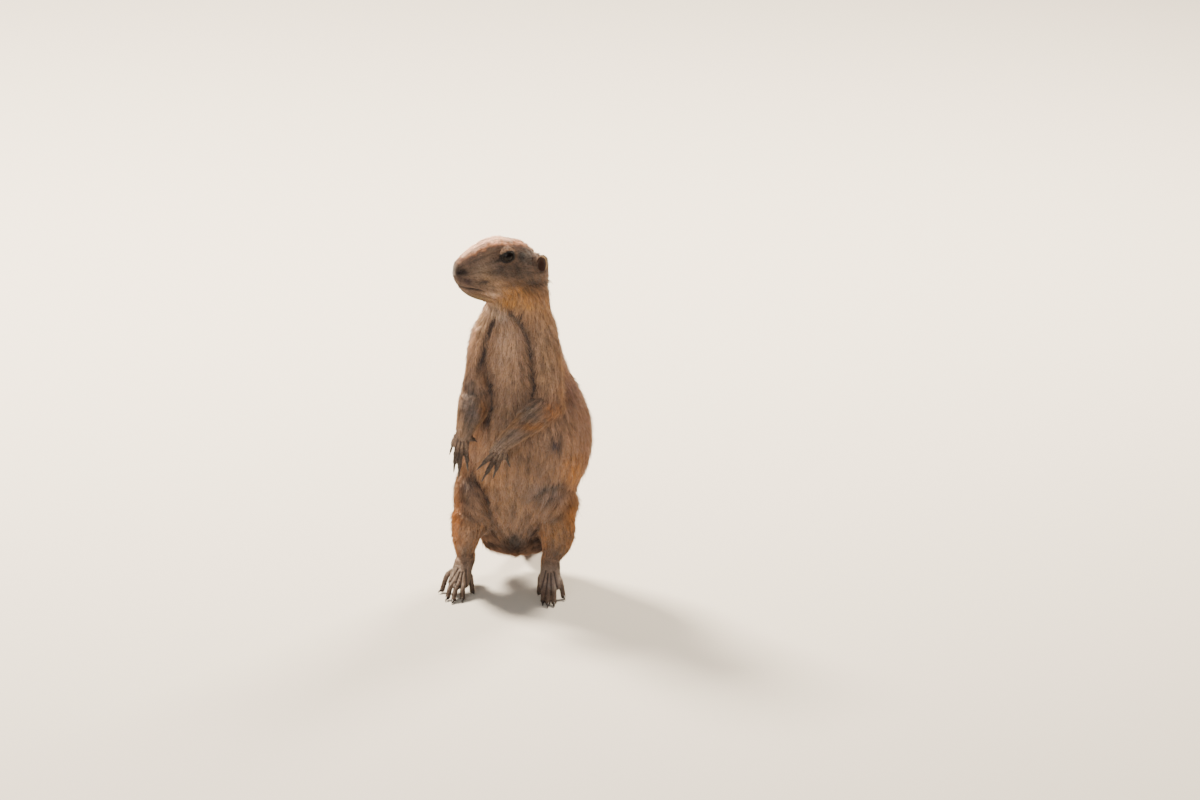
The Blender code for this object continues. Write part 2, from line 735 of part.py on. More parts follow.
def take_leg(body, side):
    """Shank and thigh, taken out of the body, which keeps a hollow for each."""
    legs = []
    for name, shape in (("shank_", shank_shape), ("thigh_", thigh_shape)):
        region = shape(side, REGION_GROW)
        legs.append(part_out(body, name + side, region, shape(side, REGION_GROW + PART_GAP)))
    keep_beyond(legs[0], (0, 0, ANKLE_HEIGHT), (0, 0, 1))
    return [largest_piece_only(leg) for leg in legs]


def stand_over_origin(things):
    """Moves everything so that the middle of the whole box stands over the origin."""
    corners = np.concatenate([np.array([v.co for v in thing.data.vertices]) for thing in things])
    middle = (corners.min(axis=0) + corners.max(axis=0)) / 2
    for thing in things:
        points = np.array([v.co for v in thing.data.vertices])
        points[:, :2] -= middle[:2]
        thing.data.vertices.foreach_set("co", points.astype(np.float32).ravel())
        thing.data.update()


def main():
    clear_scene()
    coat = material("coat", COAT, 0.9)
    pale = material("pale_coat", PALE_COAT, 0.9)
    tail_coat = material("tail_coat", TAIL_COAT, 0.9)
    horn = material("claw_horn", HORN, 0.35)
    eye_black = material("eye", EYE_BLACK, 0.05)

    body = make_body()
    coated = [body]
    for side in ("left", "right"):
        coated.append(take_upper_arm(body, side))
        for thing in (*make_lower_arm(side, horn), make_foot(side, horn)):
            finish(thing, pale)
        coated += take_leg(body, side)
    tail = solid("tail", [tail_shape()])
    cut(tail, box_beyond((0, 0, 0), (0, 0, -1)))
    finish(tail, tail_coat)
    cut(body, tail_shape(PART_GAP))
    largest_piece_only(body)
    coated.append(split(body, "neck", NECK_BASE, (0, 0, 1)))

    head = make_head()
    for eye in make_eyes(head):
        finish(eye, eye_black)
    carve_mouth(head)
    carve_nostrils(head)
    for thing in [*coated, head, *make_ears(head)]:
        finish(thing, coat)
    stand_over_origin(list(bpy.context.scene.objects))


main()
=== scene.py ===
import math

import bpy
import numpy as np
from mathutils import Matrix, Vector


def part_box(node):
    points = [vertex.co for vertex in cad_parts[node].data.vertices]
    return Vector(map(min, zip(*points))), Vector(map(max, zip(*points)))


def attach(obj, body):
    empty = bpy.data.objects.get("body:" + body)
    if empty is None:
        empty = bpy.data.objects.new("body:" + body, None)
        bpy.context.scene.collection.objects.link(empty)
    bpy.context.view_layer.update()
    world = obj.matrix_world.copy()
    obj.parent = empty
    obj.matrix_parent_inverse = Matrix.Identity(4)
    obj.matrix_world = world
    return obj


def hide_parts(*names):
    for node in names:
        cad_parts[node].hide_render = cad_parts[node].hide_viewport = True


# A prairie dog, upright on its hind feet. Metres, +Z up; it faces -Y and +X is its left side.
# The shapes below stand where the solids do, but are written a little off centre, so `offset`
# brings them over the middle of the frame.

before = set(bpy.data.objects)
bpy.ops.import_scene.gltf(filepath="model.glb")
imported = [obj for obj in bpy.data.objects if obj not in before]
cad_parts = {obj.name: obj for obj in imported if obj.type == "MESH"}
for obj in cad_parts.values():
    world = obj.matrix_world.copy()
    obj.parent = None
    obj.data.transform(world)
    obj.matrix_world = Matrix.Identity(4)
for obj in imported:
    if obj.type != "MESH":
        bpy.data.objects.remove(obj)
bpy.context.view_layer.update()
chance = np.random.default_rng(41)
print("frame loaded")


def linear(hexColour):
    # sRGB hex to linear red, green, blue
    values = np.array([int(hexColour[i:i + 2], 16) for i in (1, 3, 5)]) / 255
    return np.where(values <= 0.04045, values / 12.92, ((values + 0.055) / 1.055) ** 2.4)


def unit(vectors):
    vectors = np.asarray(vectors, float)
    return vectors / np.maximum(np.linalg.norm(vectors, axis=-1, keepdims=True), 1e-12)


def smoothStep(values, low, high):
    share = np.clip((values - low) / (high - low), 0, 1)
    return share * share * (3 - 2 * share)


def bell(gap, wide):
    return np.exp(-(gap / wide) ** 2)


def dot(a, b):
    return (a * b).sum(-1)


def waves(points, size, seed, count=9):
    # soft noise from -1 to 1: the mean of sine waves in seeded directions, each about size long
    draw = np.random.default_rng(seed)
    ways = unit(draw.normal(size=(count, points.shape[-1]))) * draw.uniform(0.7, 1.5, (count, 1))
    phases = draw.uniform(0, 2 * math.pi, count)
    return np.sin(points @ ways.T * (2 * math.pi / size) + phases).sum(-1) / math.sqrt(count) / 1.2


def smoothThrough(rows, count):
    # a Catmull-Rom curve through the rows, read at count even places
    rows = np.array(rows, float)
    padded = np.vstack([2 * rows[0] - rows[1], rows, 2 * rows[-1] - rows[-2]])
    place = np.linspace(0, len(rows) - 1, count)
    first = np.minimum(place.astype(int), len(rows) - 2)
    t = (place - first)[:, None]
    a, b, c, d = (padded[first + k] for k in range(4))
    cubic = (3 * b - a - 3 * c + d) * t**3
    square = (2 * a - 5 * b + 4 * c - d) * t**2
    return 0.5 * (2 * b + (c - a) * t + square + cubic)


def pathFrame(stations, front, rings, acrossWay=None):
    # centres, the way along, the way to the front, the way across, and the three half sizes
    rows = smoothThrough(stations, rings)
    along = unit(np.gradient(rows[:, :3], axis=0))
    if acrossWay is not None:
        along = np.tile(np.asarray(acrossWay, float), (rings, 1))
    front = np.asarray(front, float)
    ahead = unit(front - (along @ front)[:, None] * along)
    return rows[:, :3], along, ahead, np.cross(ahead, along), rows[:, 3:6]


def ringFaces(rings, sides):
    # quads between the rings, and a fan to each pole; the poles are the last two points
    ring, side = np.meshgrid(np.arange(rings - 1), np.arange(sides), indexing="ij")
    a = ring * sides + side
    b = ring * sides + (side + 1) % sides
    quads = np.stack([a, b, b + sides, a + sides], -1).reshape(-1, 4)
    side = np.arange(sides)
    after = (side + 1) % sides
    last = (rings - 1) * sides
    start = np.stack([after, side, np.full(sides, rings * sides)], -1)
    end = np.stack([last + side, last + after, np.full(sides, rings * sides + 1)], -1)
    return quads.tolist() + start.tolist() + end.tolist()


def tube(stations, front, sides=24, rings=24, domes=(1, 1), acrossWay=None, grow=0.0, caps=3):
    # point = centre + cos(angle) * half width * across + sin(angle) * depth * ahead, and at each
    # end the rings shrink on a quarter of an ellipse, domes times the smallest half size long
    centres, along, ahead, across, sizes = pathFrame(stations, front, rings, acrossWay)
    sizes = sizes + grow
    steps = np.radians(np.linspace(90, 0, caps + 2)[1:-1])
    ring = np.concatenate([np.zeros(caps, int), np.arange(rings), np.full(caps, rings - 1)])
    push = np.concatenate([-np.sin(steps) * domes[0], np.zeros(rings), np.sin(steps[::-1]) * domes[1]])
    scale = np.concatenate([np.cos(steps), np.ones(rings), np.cos(steps[::-1])])
    angles = np.linspace(0, 2 * math.pi, sides, endpoint=False)
    reach = sizes[ring].min(1)
    middles = centres[ring] + along[ring] * (push * reach)[:, None]
    depth = np.where(np.sin(angles) > 0, sizes[ring, 1][:, None], sizes[ring, 2][:, None])
    out = (np.cos(angles) * sizes[ring, 0][:, None])[..., None] * across[ring][:, None]
    out = out + (np.sin(angles) * depth)[..., None] * ahead[ring][:, None]
    points = middles[:, None] + out * scale[:, None, None]
    poles = [centres[0] - along[0] * reach[0] * domes[0], centres[-1] + along[-1] * reach[-1] * domes[1]]
    return np.vstack([points.reshape(-1, 3), poles]), ringFaces(len(ring), sides)


def thicken(path, radii):
    return [(*point, wide, deep, deep) for point, (wide, deep) in zip(path, radii)]


def limb(path, radii, front=(0, -1, 0), sides=16, rings=18, domes=(1, 1), grow=0.0, caps=3):
    return tube(thicken(path, radii), front, sides, rings, domes, grow=grow, caps=caps)


def ball(centre, half, axes=None, sides=24, rings=15):
    # an ellipsoid: a sine and a cosine of the climb and the turn, times three half sizes
    climb = np.pi * np.arange(1, rings + 1)[:, None] / (rings + 1)
    turn = 2 * np.pi * np.arange(sides) / sides
    flat = np.sin(climb)
    rows = np.stack([np.cos(turn) * flat, np.sin(turn) * flat, -np.cos(climb) + 0 * turn], -1)
    rows = np.vstack([rows.reshape(-1, 3), [(0, 0, -1), (0, 0, 1)]]) * half
    return np.asarray(centre) + (rows if axes is None else rows @ axes), ringFaces(rings, sides)


def joined(shapes):
    points, faces, start = [], [], 0
    for shapePoints, shapeFaces in shapes:
        points.append(shapePoints)
        faces += [[start + i for i in face] for face in shapeFaces]
        start += len(shapePoints)
    return np.vstack(points), faces


def outwardFaces(points, faces):
    # turns every face round if the closed shape's signed volume is below nought
    fans = np.array([(f[0], f[k], f[k + 1]) for f in faces for k in range(1, len(f) - 1)])
    a, b, c = (points[fans[:, k]] for k in range(3))
    return faces if dot(a, np.cross(b, c)).sum() > 0 else [face[::-1] for face in faces]


def inScene(name, data):
    thing = bpy.data.objects.new(name, data)
    bpy.context.scene.collection.objects.link(thing)
    return thing


def newObject(name, shapes, material=None, slot=None):
    # one object of closed shapes, its place in its mesh
    points, faces = joined([(points, outwardFaces(points, faces)) for points, faces in shapes])
    mesh = bpy.data.meshes.new(name)
    mesh.from_pydata(points - offset, [], faces)
    mesh.shade_smooth()
    thing = inScene(name, mesh)
    if material:
        mesh.materials.append(material)
    if slot:
        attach(thing, "root")
    return thing


def keepModifiers(thing):
    graph = bpy.context.evaluated_depsgraph_get()
    mesh = bpy.data.meshes.new_from_object(thing.evaluated_get(graph))
    thing.modifiers.clear()
    thing.data = mesh


def putPoints(mesh, points):
    mesh.vertices.foreach_set("co", (points - offset).astype(np.float32).ravel())


def readRows(source, key, kind):
    values = np.empty(len(source) * 3, kind)
    source.foreach_get(key, values)
    return values.reshape(-1, 3)


def arraysOf(mesh):
    # points in the drawing's own place, normals and triangles
    mesh.calc_loop_triangles()
    points = readRows(mesh.vertices, "co", np.float32).astype(float) + offset
    normals = readRows(mesh.vertex_normals, "vector", np.float32).astype(float)
    return points, normals, readRows(mesh.loop_triangles, "vertices", np.int32)


# the animal's sizes, the same as the solids'
headSizes = {
    "centre": np.array([-0.0152, 0.0020, 0.2912]),  # just ahead of the eyes, midway between them
    "turnDegrees": 70,
    "eyePlace": (-0.0010, 0.0143, -0.0008),
    "eyeRadius": 0.0057,
    "lidThickness": 0.0012,
    "lidCoatDepth": 0.0004,  # the lids carry almost no hair, so their skin lies nearer the solid
    "opening": (0.0054, 0.0042),
    "slantDegrees": 14,
    "coatDepth": 0.0009,
    "sections": [  # distance ahead of the head's centre, top, bottom, half width
        (0.0368, -0.0050, -0.0252, 0.0080),
        (0.0338, -0.0020, -0.0312, 0.0104),
        (0.0290, 0.0018, -0.0360, 0.0126),
        (0.0220, 0.0064, -0.0402, 0.0148),
        (0.0120, 0.0103, -0.0435, 0.0182),
        (0.0010, 0.0111, -0.0430, 0.0206),
        (-0.0095, 0.0080, -0.0420, 0.0216),
        (-0.0200, 0.0024, -0.0400, 0.0205),
        (-0.0295, -0.0040, -0.0370, 0.0170),
    ],
    "cheek": ((-0.0060, 0.0115, -0.0230), (0.0180, 0.0105, 0.0125)),
    "lip": ((0.0310, 0.0052, -0.0208), (0.0068, 0.0070, 0.0056)),
    "temple": ((-0.0250, 0.0112, -0.0152), (0.0095, 0.0085, 0.0118)),
    "skull": ((-0.0055, 0.0, -0.0048), (0.0205, 0.0197, 0.0125)),
    "mouthCentre": (0.0195, 0.0, -0.0262),
    "mouthDrop": 0.0036,
    "nostril": (0.0380, 0.0078, -0.0132),
}
trunkSizes = {
    "coatDepth": 0.0020,
    "stations": [  # x, y, z, half width, depth in front, depth behind
        (-0.0010, 0.0200, 0.0360, 0.0320, 0.0250, 0.0310),
        (-0.0010, 0.0180, 0.0500, 0.0390, 0.0340, 0.0380),
        (-0.0005, 0.0150, 0.0680, 0.0430, 0.0410, 0.0430),
        (0.0030, 0.0120, 0.0880, 0.0470, 0.0440, 0.0440),
        (0.0070, 0.0095, 0.1080, 0.0505, 0.0460, 0.0440),
        (0.0088, 0.0080, 0.1280, 0.0510, 0.0455, 0.0430),
        (0.0088, 0.0070, 0.1480, 0.0485, 0.0420, 0.0405),
        (0.0062, 0.0060, 0.1680, 0.0435, 0.0370, 0.0380),
        (0.0030, 0.0060, 0.1880, 0.0368, 0.0315, 0.0350),
        (0.0000, 0.0060, 0.2080, 0.0340, 0.0280, 0.0320),
        (-0.0020, 0.0055, 0.2260, 0.0322, 0.0252, 0.0290),
        (-0.0010, 0.0050, 0.2420, 0.0270, 0.0240, 0.0262),
        (0.0000, 0.0045, 0.2600, 0.0243, 0.0225, 0.0235),
    ],
    "thighs": {
        "Left": ((0.0290, 0.0020, 0.0730), (0.0190, 0.0330, 0.0310)),
        "Right": ((-0.0350, 0.0030, 0.0755), (0.0185, 0.0310, 0.0335)),
    },
    "tail": [
        (0.0040, 0.0440, 0.0330, 0.0100, 0.0085, 0.0085),
        (0.0050, 0.0600, 0.0190, 0.0092, 0.0076, 0.0076),
        (0.0065, 0.0760, 0.0095, 0.0094, 0.0070, 0.0070),
        (0.0090, 0.0940, 0.0058, 0.0100, 0.0064, 0.0064),
        (0.0120, 0.1120, 0.0052, 0.0088, 0.0056, 0.0056),
        (0.0142, 0.1240, 0.0048, 0.0064, 0.0050, 0.0050),
        (0.0158, 0.1325, 0.0042, 0.0030, 0.0030, 0.0030),  # the tips of the hair, past the flesh
    ],
    "tailCoatDepth": 0.0022,
    # loose skin between the belly and the right thigh
    "flankFold": ((-0.0360, 0.0040, 0.1040), (0.0088, 0.0200, 0.0150)),
}
legSizes = {
    "coatDepth": 0.0012,
    "footCoatDepth": 0.0003,
    "toeCoatDepth": 0.0006,
    "toeRadius": 0.0028,
    "toeDeep": (0.0032, 0.0029, 0.0026),
    "toeTaper": (1, 0.95, 0.88),
    "toeArch": (0, 0, 0.0022),
    "foot": [(0.0078, 0.0074), (0.0084, 0.0064), (0.0092, 0.0060)],
    "instepRise": (0, 0, 0.0006),
    "heel": ((0, 0.0065, -0.0050), (0.0066, 0.0068, 0.0072)),  # from the ankle, and half sizes
    "Left": {
        "shank": [
            (0.0310, -0.0140, 0.0660), (0.0318, -0.0080, 0.0460),
            (0.0298, -0.0040, 0.0350), (0.0262, -0.0030, 0.0250),
        ],
        "sizes": [(0.0150, 0.0170), (0.0138, 0.0152), (0.0116, 0.0122), (0.0080, 0.0086)],
        "ankle": (0.0258, -0.0030, 0.0250),
        "ball": (0.0255, -0.0280, 0.0098),
        "toes": [
            ((0.0185, -0.0150, 0.0140), (0.0155, -0.0290, 0.0020)),
            ((0.0205, -0.0260, 0.0105), (0.0195, -0.0490, 0.0006)),
            ((0.0245, -0.0280, 0.0105), (0.0236, -0.0540, 0.0006)),
            ((0.0288, -0.0275, 0.0105), (0.0288, -0.0530, 0.0006)),
            ((0.0325, -0.0190, 0.0130), (0.0378, -0.0380, 0.0010)),
        ],
    },
    "Right": {
        "shank": [
            (-0.0405, -0.0130, 0.0660), (-0.0432, -0.0070, 0.0460),
            (-0.0440, -0.0030, 0.0350), (-0.0436, -0.0010, 0.0250),
        ],
        "sizes": [(0.0142, 0.0170), (0.0120, 0.0148), (0.0094, 0.0115), (0.0076, 0.0082)],
        "ankle": (-0.0435, -0.0010, 0.0250),
        "ball": (-0.0495, -0.0230, 0.0100),
        "toes": [
            ((-0.0410, -0.0120, 0.0140), (-0.0368, -0.0250, 0.0016)),
            ((-0.0455, -0.0220, 0.0105), (-0.0465, -0.0420, 0.0006)),
            ((-0.0495, -0.0240, 0.0105), (-0.0548, -0.0460, 0.0006)),
            ((-0.0535, -0.0230, 0.0105), (-0.0602, -0.0400, 0.0006)),
            ((-0.0552, -0.0090, 0.0150), (-0.0662, -0.0215, 0.0016)),
        ],
    },
}
armSizes = {
    "coatDepth": 0.0011,
    "handCoatDepth": 0.0002,
    "fingerCoatDepth": 0.0003,
    "fingerRadius": 0.0022,
    "fingerTaper": [(1.08, 1.1), (1, 1.05), (0.86, 0.9)],
    "fingerArch": 0.0012,
    "thumbShare": 0.9,
    "palm": [(0.0066, 0.0052), (0.0074, 0.0044)],
    "Left": {
        "upper": [
            (0.0185, -0.0020, 0.2210), (0.0205, -0.0080, 0.2060), (0.0230, -0.0140, 0.1900),
            (0.0248, -0.0190, 0.1760), (0.0258, -0.0225, 0.1670),
        ],
        "upperSizes": [
            (0.0125, 0.0130), (0.0140, 0.0140), (0.0132, 0.0130), (0.0125, 0.0125), (0.0120, 0.0120),
        ],
        "forearm": [
            (0.0258, -0.0225, 0.1670), (0.0130, -0.0330, 0.1590),
            (-0.0010, -0.0430, 0.1495), (-0.0128, -0.0495, 0.1410),
        ],
        "forearmSizes": [(0.0122, 0.0120), (0.0112, 0.0105), (0.0088, 0.0082), (0.0066, 0.0058)],
        "knuckles": (-0.0170, -0.0520, 0.1330),
        "back": (-0.20, -0.95, 0.10),
        "digits": [
            ((-0.0165, -0.0500, 0.1385), (-0.0245, -0.0500, 0.1345)),
            ((-0.0200, -0.0530, 0.1345), (-0.0340, -0.0540, 0.1205)),
            ((-0.0185, -0.0535, 0.1310), (-0.0299, -0.0550, 0.1109)),
            ((-0.0150, -0.0530, 0.1295), (-0.0209, -0.0545, 0.1131)),
            ((-0.0105, -0.0520, 0.1335), (-0.0066, -0.0530, 0.1225)),
        ],
    },
    "Right": {
        "upper": [
            (-0.0265, 0.0010, 0.2210), (-0.0308, -0.0020, 0.2080), (-0.0338, -0.0060, 0.1920),
            (-0.0352, -0.0100, 0.1780), (-0.0345, -0.0130, 0.1690),
        ],
        "upperSizes": [
            (0.0100, 0.0130), (0.0102, 0.0130), (0.0094, 0.0115), (0.0108, 0.0115), (0.0130, 0.0122),
        ],
        "forearm": [
            (-0.0345, -0.0130, 0.1690), (-0.0378, -0.0225, 0.1610),
            (-0.0415, -0.0300, 0.1530), (-0.0443, -0.0350, 0.1460),
        ],
        "forearmSizes": [(0.0132, 0.0122), (0.0122, 0.0108), (0.0096, 0.0080), (0.0070, 0.0060)],
        "knuckles": (-0.0470, -0.0365, 0.1385),
        "back": (-0.25, -0.95, -0.15),
        "digits": [
            ((-0.0400, -0.0350, 0.1440), (-0.0336, -0.0355, 0.1380)),
            ((-0.0428, -0.0370, 0.1375), (-0.0410, -0.0390, 0.1140)),
            ((-0.0462, -0.0375, 0.1366), (-0.0488, -0.0395, 0.1087)),
            ((-0.0496, -0.0370, 0.1375), (-0.0528, -0.0385, 0.1128)),
            ((-0.0520, -0.0350, 0.1400), (-0.0562, -0.0360, 0.1272)),
        ],
    },
}
clawSizes = {
    "hand": {"length": 0.0088, "radius": 0.00150, "hook": 0.0009},
    "thumb": {"length": 0.0040, "radius": 0.0012, "hook": 0.0004},
    "foot": {"length": 0.0062, "radius": 0.00150, "hook": 0.0006},
    "sunk": 0.0022,
    "tip": 0.28,
}
sides = ("Left", "Right")
viewWay = np.array([0, -0.94, 0.342])  # towards the camera, 20 degrees above the level
viewUp = np.array([0, 0.342, 0.940])  # and up in its picture

turn = math.radians(headSizes["turnDegrees"])
headAxes = np.array([[-math.sin(turn), -math.cos(turn), 0], [math.cos(turn), -math.sin(turn), 0], [0, 0, 1.0]])


def headWay(ahead, left, up):
    return np.array([ahead, left, up]) @ headAxes


def onHead(place):
    # a place given as distance ahead of, left of and above the head's centre
    return headSizes["centre"] + np.asarray(place) @ headAxes


def headPlaces(points):
    # the reverse: ahead, out to either side, and up, in millimetres
    places = (points - headSizes["centre"]) @ headAxes.T * 1000
    places[:, 1] = np.abs(places[:, 1])
    return places


def mirrored(place, side):
    return np.array(place) * (1, side, 1)


eyeBox = np.array([list(corner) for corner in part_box("eye_left")])
offset = onHead(headSizes["eyePlace"]) - eyeBox.mean(0)


def digitPath(root, tip, claw, arch):
    root, tip = np.array(root), np.array(tip)
    end = tip - unit(tip - root) * claw + arch * 0.3
    return [root, (root + end) / 2 + arch, end, tip]


def toePath(side, number):
    arch = np.array(legSizes["toeArch"])
    path = digitPath(*legSizes[side]["toes"][number], clawSizes["foot"]["length"], arch)
    path[2][2] = legSizes["toeRadius"] * 0.8
    return path


def fingerPath(side, number):
    arm = armSizes[side]
    length = clawSizes["thumb" if number == 0 else "hand"]["length"]
    return digitPath(*arm["digits"][number], length, unit(arm["back"]) * armSizes["fingerArch"])


def headStations():
    rows = []
    for ahead, top, bottom, wide in headSizes["sections"]:
        deep = (top - bottom) / 2
        rows.append((*onHead((ahead, 0, (top + bottom) / 2)), wide, deep, deep))
    return rows


# The skin is one closed surface, which lies inside the solids by the depth of the coat.

def skinShapes():
    inset = -headSizes["coatDepth"]
    shapes = [tube(headStations(), (0, 0, 1), 48, 60, (0.45, 0.65), -headAxes[0], inset, 5)]
    for side in (1, -1):
        for name in ("cheek", "lip", "temple"):
            place, half = headSizes[name]
            shapes.append(ball(onHead(mirrored(place, side)), np.array(half) + inset, headAxes))
        lid = headSizes["eyeRadius"] + headSizes["lidThickness"] - headSizes["lidCoatDepth"]
        shapes.append(ball(onHead(mirrored(headSizes["eyePlace"], side)), (lid,) * 3, headAxes))
    place, half = headSizes["skull"]
    shapes.append(ball(onHead(place), np.array(half) + inset, headAxes, 40, 25))

    inset = -trunkSizes["coatDepth"]
    shapes.append(tube(trunkSizes["stations"], (0, -1, 0), 64, 90, (0.55, 0.4), (0, 0, 1), inset, 6))
    tail = trunkSizes["tail"][:-1]
    shapes.append(tube(tail, (0, 0, 1), 24, 40, (0.8, 1.1), grow=-trunkSizes["tailCoatDepth"]))
    for side in sides:
        centre, half = trunkSizes["thighs"][side]
        shapes.append(ball(centre, np.array(half) + inset, sides=40, rings=25))
        shapes += legShapes(side) + armShapes(side)
    return shapes + [ball(*trunkSizes["flankFold"])]


def legShapes(side):
    leg = legSizes[side]
    ankle = np.array(leg["ankle"])
    instep = (ankle + np.array(leg["ball"])) / 2 + np.array(legSizes["instepRise"])
    heel, heelHalf = np.array(legSizes["heel"])
    inset = -legSizes["footCoatDepth"]
    shank = {"sides": 28, "rings": 30, "domes": (0.7, 0.8), "grow": -legSizes["coatDepth"]}
    shapes = [
        limb(leg["shank"], leg["sizes"], **shank),
        limb([ankle, instep, leg["ball"]], legSizes["foot"], (0, 0, 1), 24, 24, (1, 0.7), inset),
        ball(ankle + heel, heelHalf + inset),
    ]
    wide = [legSizes["toeRadius"] * share for share in legSizes["toeTaper"]]
    radii = list(zip(wide, legSizes["toeDeep"]))
    inset = -legSizes["toeCoatDepth"]
    for number in range(5):
        shapes.append(limb(toePath(side, number)[:3], radii, (0, 0, 1), 16, 18, grow=inset))
    return shapes


def armShapes(side):
    arm = armSizes[side]
    back = arm["back"]
    inset = -armSizes["coatDepth"]
    shapes = [limb(arm["upper"], arm["upperSizes"], sides=28, rings=24, grow=inset)]
    shapes.append(limb(arm["forearm"], arm["forearmSizes"], back, 24, 24, grow=inset * 0.6))
    inset = -armSizes["handCoatDepth"]
    shapes.append(limb([arm["forearm"][-1], arm["knuckles"]], armSizes["palm"], back, 20, 10, grow=inset))
    inset = -armSizes["fingerCoatDepth"]
    for number in range(5):
        thick = armSizes["fingerRadius"] * (armSizes["thumbShare"] if number == 0 else 1.0)
        radii = [(thick * wide, thick * deep) for wide, deep in armSizes["fingerTaper"]]
        shapes.append(limb(fingerPath(side, number)[:3], radii, back, 14, 12, grow=inset))
    return shapes


def eyeFrame(side):
    # the middle of the eye, the way out, and the two ways along and up its slanting opening
    slant = math.radians(headSizes["slantDegrees"])
    centre = onHead(mirrored(headSizes["eyePlace"], side))
    out = headAxes[1] * side
    ahead = unit(headAxes[0] * math.cos(slant) - headAxes[2] * math.sin(slant))
    return centre, out, ahead, headAxes[2] * math.cos(slant) + headAxes[0] * math.sin(slant)


def eyePlaces(points, side):
    # along and up the opening, as shares of its half sizes, and out from the middle of the eye
    centre, out, ahead, up = eyeFrame(side)
    local = points - centre
    wide, high = headSizes["opening"]
    return dot(local, ahead) / wide, dot(local, up) / high, dot(local, out)


lidEdge = {"inner": 0.86, "outer": 1.14, "sunk": 0.86}  # shares of the opening, and of the eyeball


def openEye(points, side):
    # points over the opening go inside the eyeball; those near its edge are drawn onto the edge
    centre, out, ahead, up = eyeFrame(side)
    x, y, z = eyePlaces(points, side)
    wide, high = headSizes["opening"]
    q = np.where(z > 0, np.hypot(x, y), 9)
    inside = q < lidEdge["inner"]
    points[inside] = centre + unit(points[inside] - centre) * headSizes["eyeRadius"] * lidEdge["sunk"]
    edge = (q >= lidEdge["inner"]) & (q < lidEdge["outer"])
    pull = (1 / q[edge] - 1)[:, None]
    points[edge] += (ahead * (x[edge] * wide)[:, None] + up * (y[edge] * high)[:, None]) * pull
    return points


def mouthPath(skin):
    # rays from inside the muzzle meet the skin along the line of the lips
    centre = onHead(headSizes["mouthCentre"])
    points = []
    widest = math.radians(96)
    for angle in np.linspace(-widest, widest, 41):
        drop = headAxes[2] * headSizes["mouthDrop"] * (angle / widest) ** 2
        way = headWay(math.cos(angle), math.sin(angle), 0)
        hit, place, _, _ = skin.ray_cast(centre - drop - offset, way)
        if hit:
            points.append(np.array(place) + offset)
    return np.array(points)


def nearestOnPath(points, path):
    # distance to the nearest of a fine row of points on the path
    best = np.full(len(points), 1e9)
    for place in smoothThrough(path, len(path) * 3):
        best = np.minimum(best, dot(points - place, points - place))
    return np.sqrt(best)


def seenPlace(points):
    # where a point shows from the front and 20 degrees above, in millimetres: across, and up
    return np.stack([points[:, 0], points @ viewUp], -1) * 1000


def toLine(places, line):
    # in that view, the distance and the way from each place to the nearest place of a bent line
    best, ways = np.full(len(places), 1e9), np.zeros_like(places)
    line = np.array(line, float)
    for start, end in zip(line[:-1], line[1:]):
        way = end - start
        share = np.clip((places - start) @ way / (way @ way), 0, 1)
        gone = start + share[:, None] * way - places
        gap = np.linalg.norm(gone, axis=1)
        closer = gap < best
        best = np.where(closer, gap, best)
        ways[closer] = gone[closer]
    return best, ways


earSizes = {
    "place": (-0.0298, 0.0183, -0.0102), "high": 0.0064, "wide": 0.0037, "deep": 0.0040, "rise": 0.0006,
    "rightDrop": (-0.0036, 0.88),  # the right ear is laid down a little: how far, and its share of the size
    "opens": (0.42, 0.90, 0.06), "lean": 0.05,  # the way its cup opens, and how far its top leans ahead
    "back": 0.0056, "egg": 0.12, "hairs": 2400,
}


def earPlaces(points):
    # ahead of, out from and above the middle of the ear, in millimetres, alike on both sides
    return headPlaces(points) - np.array(earSizes["place"]) * 1000


def earShare(points):
    # share of the way from the middle of the ear to its rim, and 9 far in under the ear
    ear = earPlaces(points)
    share = np.hypot(ear[:, 0] / (earSizes["wide"] * 1000), ear[:, 2] / (earSizes["high"] * 1000))
    return np.where(ear[:, 1] > -8, share, 9)


# folds where a limb lies on the trunk, in millimetres in that view: name, line, half width,
# depth and how dark the shade painted along it is
folds = [
    ("under the chin", [(-18, 230), (-12, 227), (-6, 223.5)], 1.1, 0.5, 0.8),
    (
        "left arm on the chest",
        [(-7, 224), (-1, 219), (4, 210), (8, 198), (11, 182), (12.5, 166), (11, 156)], 3.0, 1.9, 0.9,
    ),
    ("right arm on the chest", [(-19, 217), (-23, 208), (-28, 191), (-31.5, 177)], 3.0, 1.4, 0.9),
    ("inside the right elbow", [(-24, 168), (-21, 156), (-21, 144), (-25, 132)], 2.4, 1.2, 0.9),
    ("belly on the right thigh", [(-39, 93), (-33, 83), (-27, 73), (-24, 58), (-20, 45)], 2.6, 1.3, 0.75),
    ("belly on the left thigh", [(11, 72), (19, 79), (27, 82), (35, 83)], 2.6, 1.2, 0.75),
    ("inside the left leg", [(9, 46), (13, 39), (17, 29)], 2.6, 0.9, 0.7),
]
skinSettings = {
    "voxel": 0.00066, "smoothing": 4, "triangles": 190000, "floorGap": 0.0001, "softTimes": 90,
    "soft": {
        "trunk": 0.7, "thigh": 1.0, "shank": 1.0, "upperArm": 0.35, "forearm": 0.14, "tail": 0.2, "head": 0.06,
    },
    # how deep: between the digits, behind the crown, under the ear's bowl and in the nostril
    "groove": 0.0009, "rear": 0.0022, "underEar": 0.0035, "nostril": 0.0019,
    "lipRoll": 0.0006, "lipGroove": 0.0010,
    "nostrilHalf": np.array([0.0030, 0.0024, 0.0014]),
}


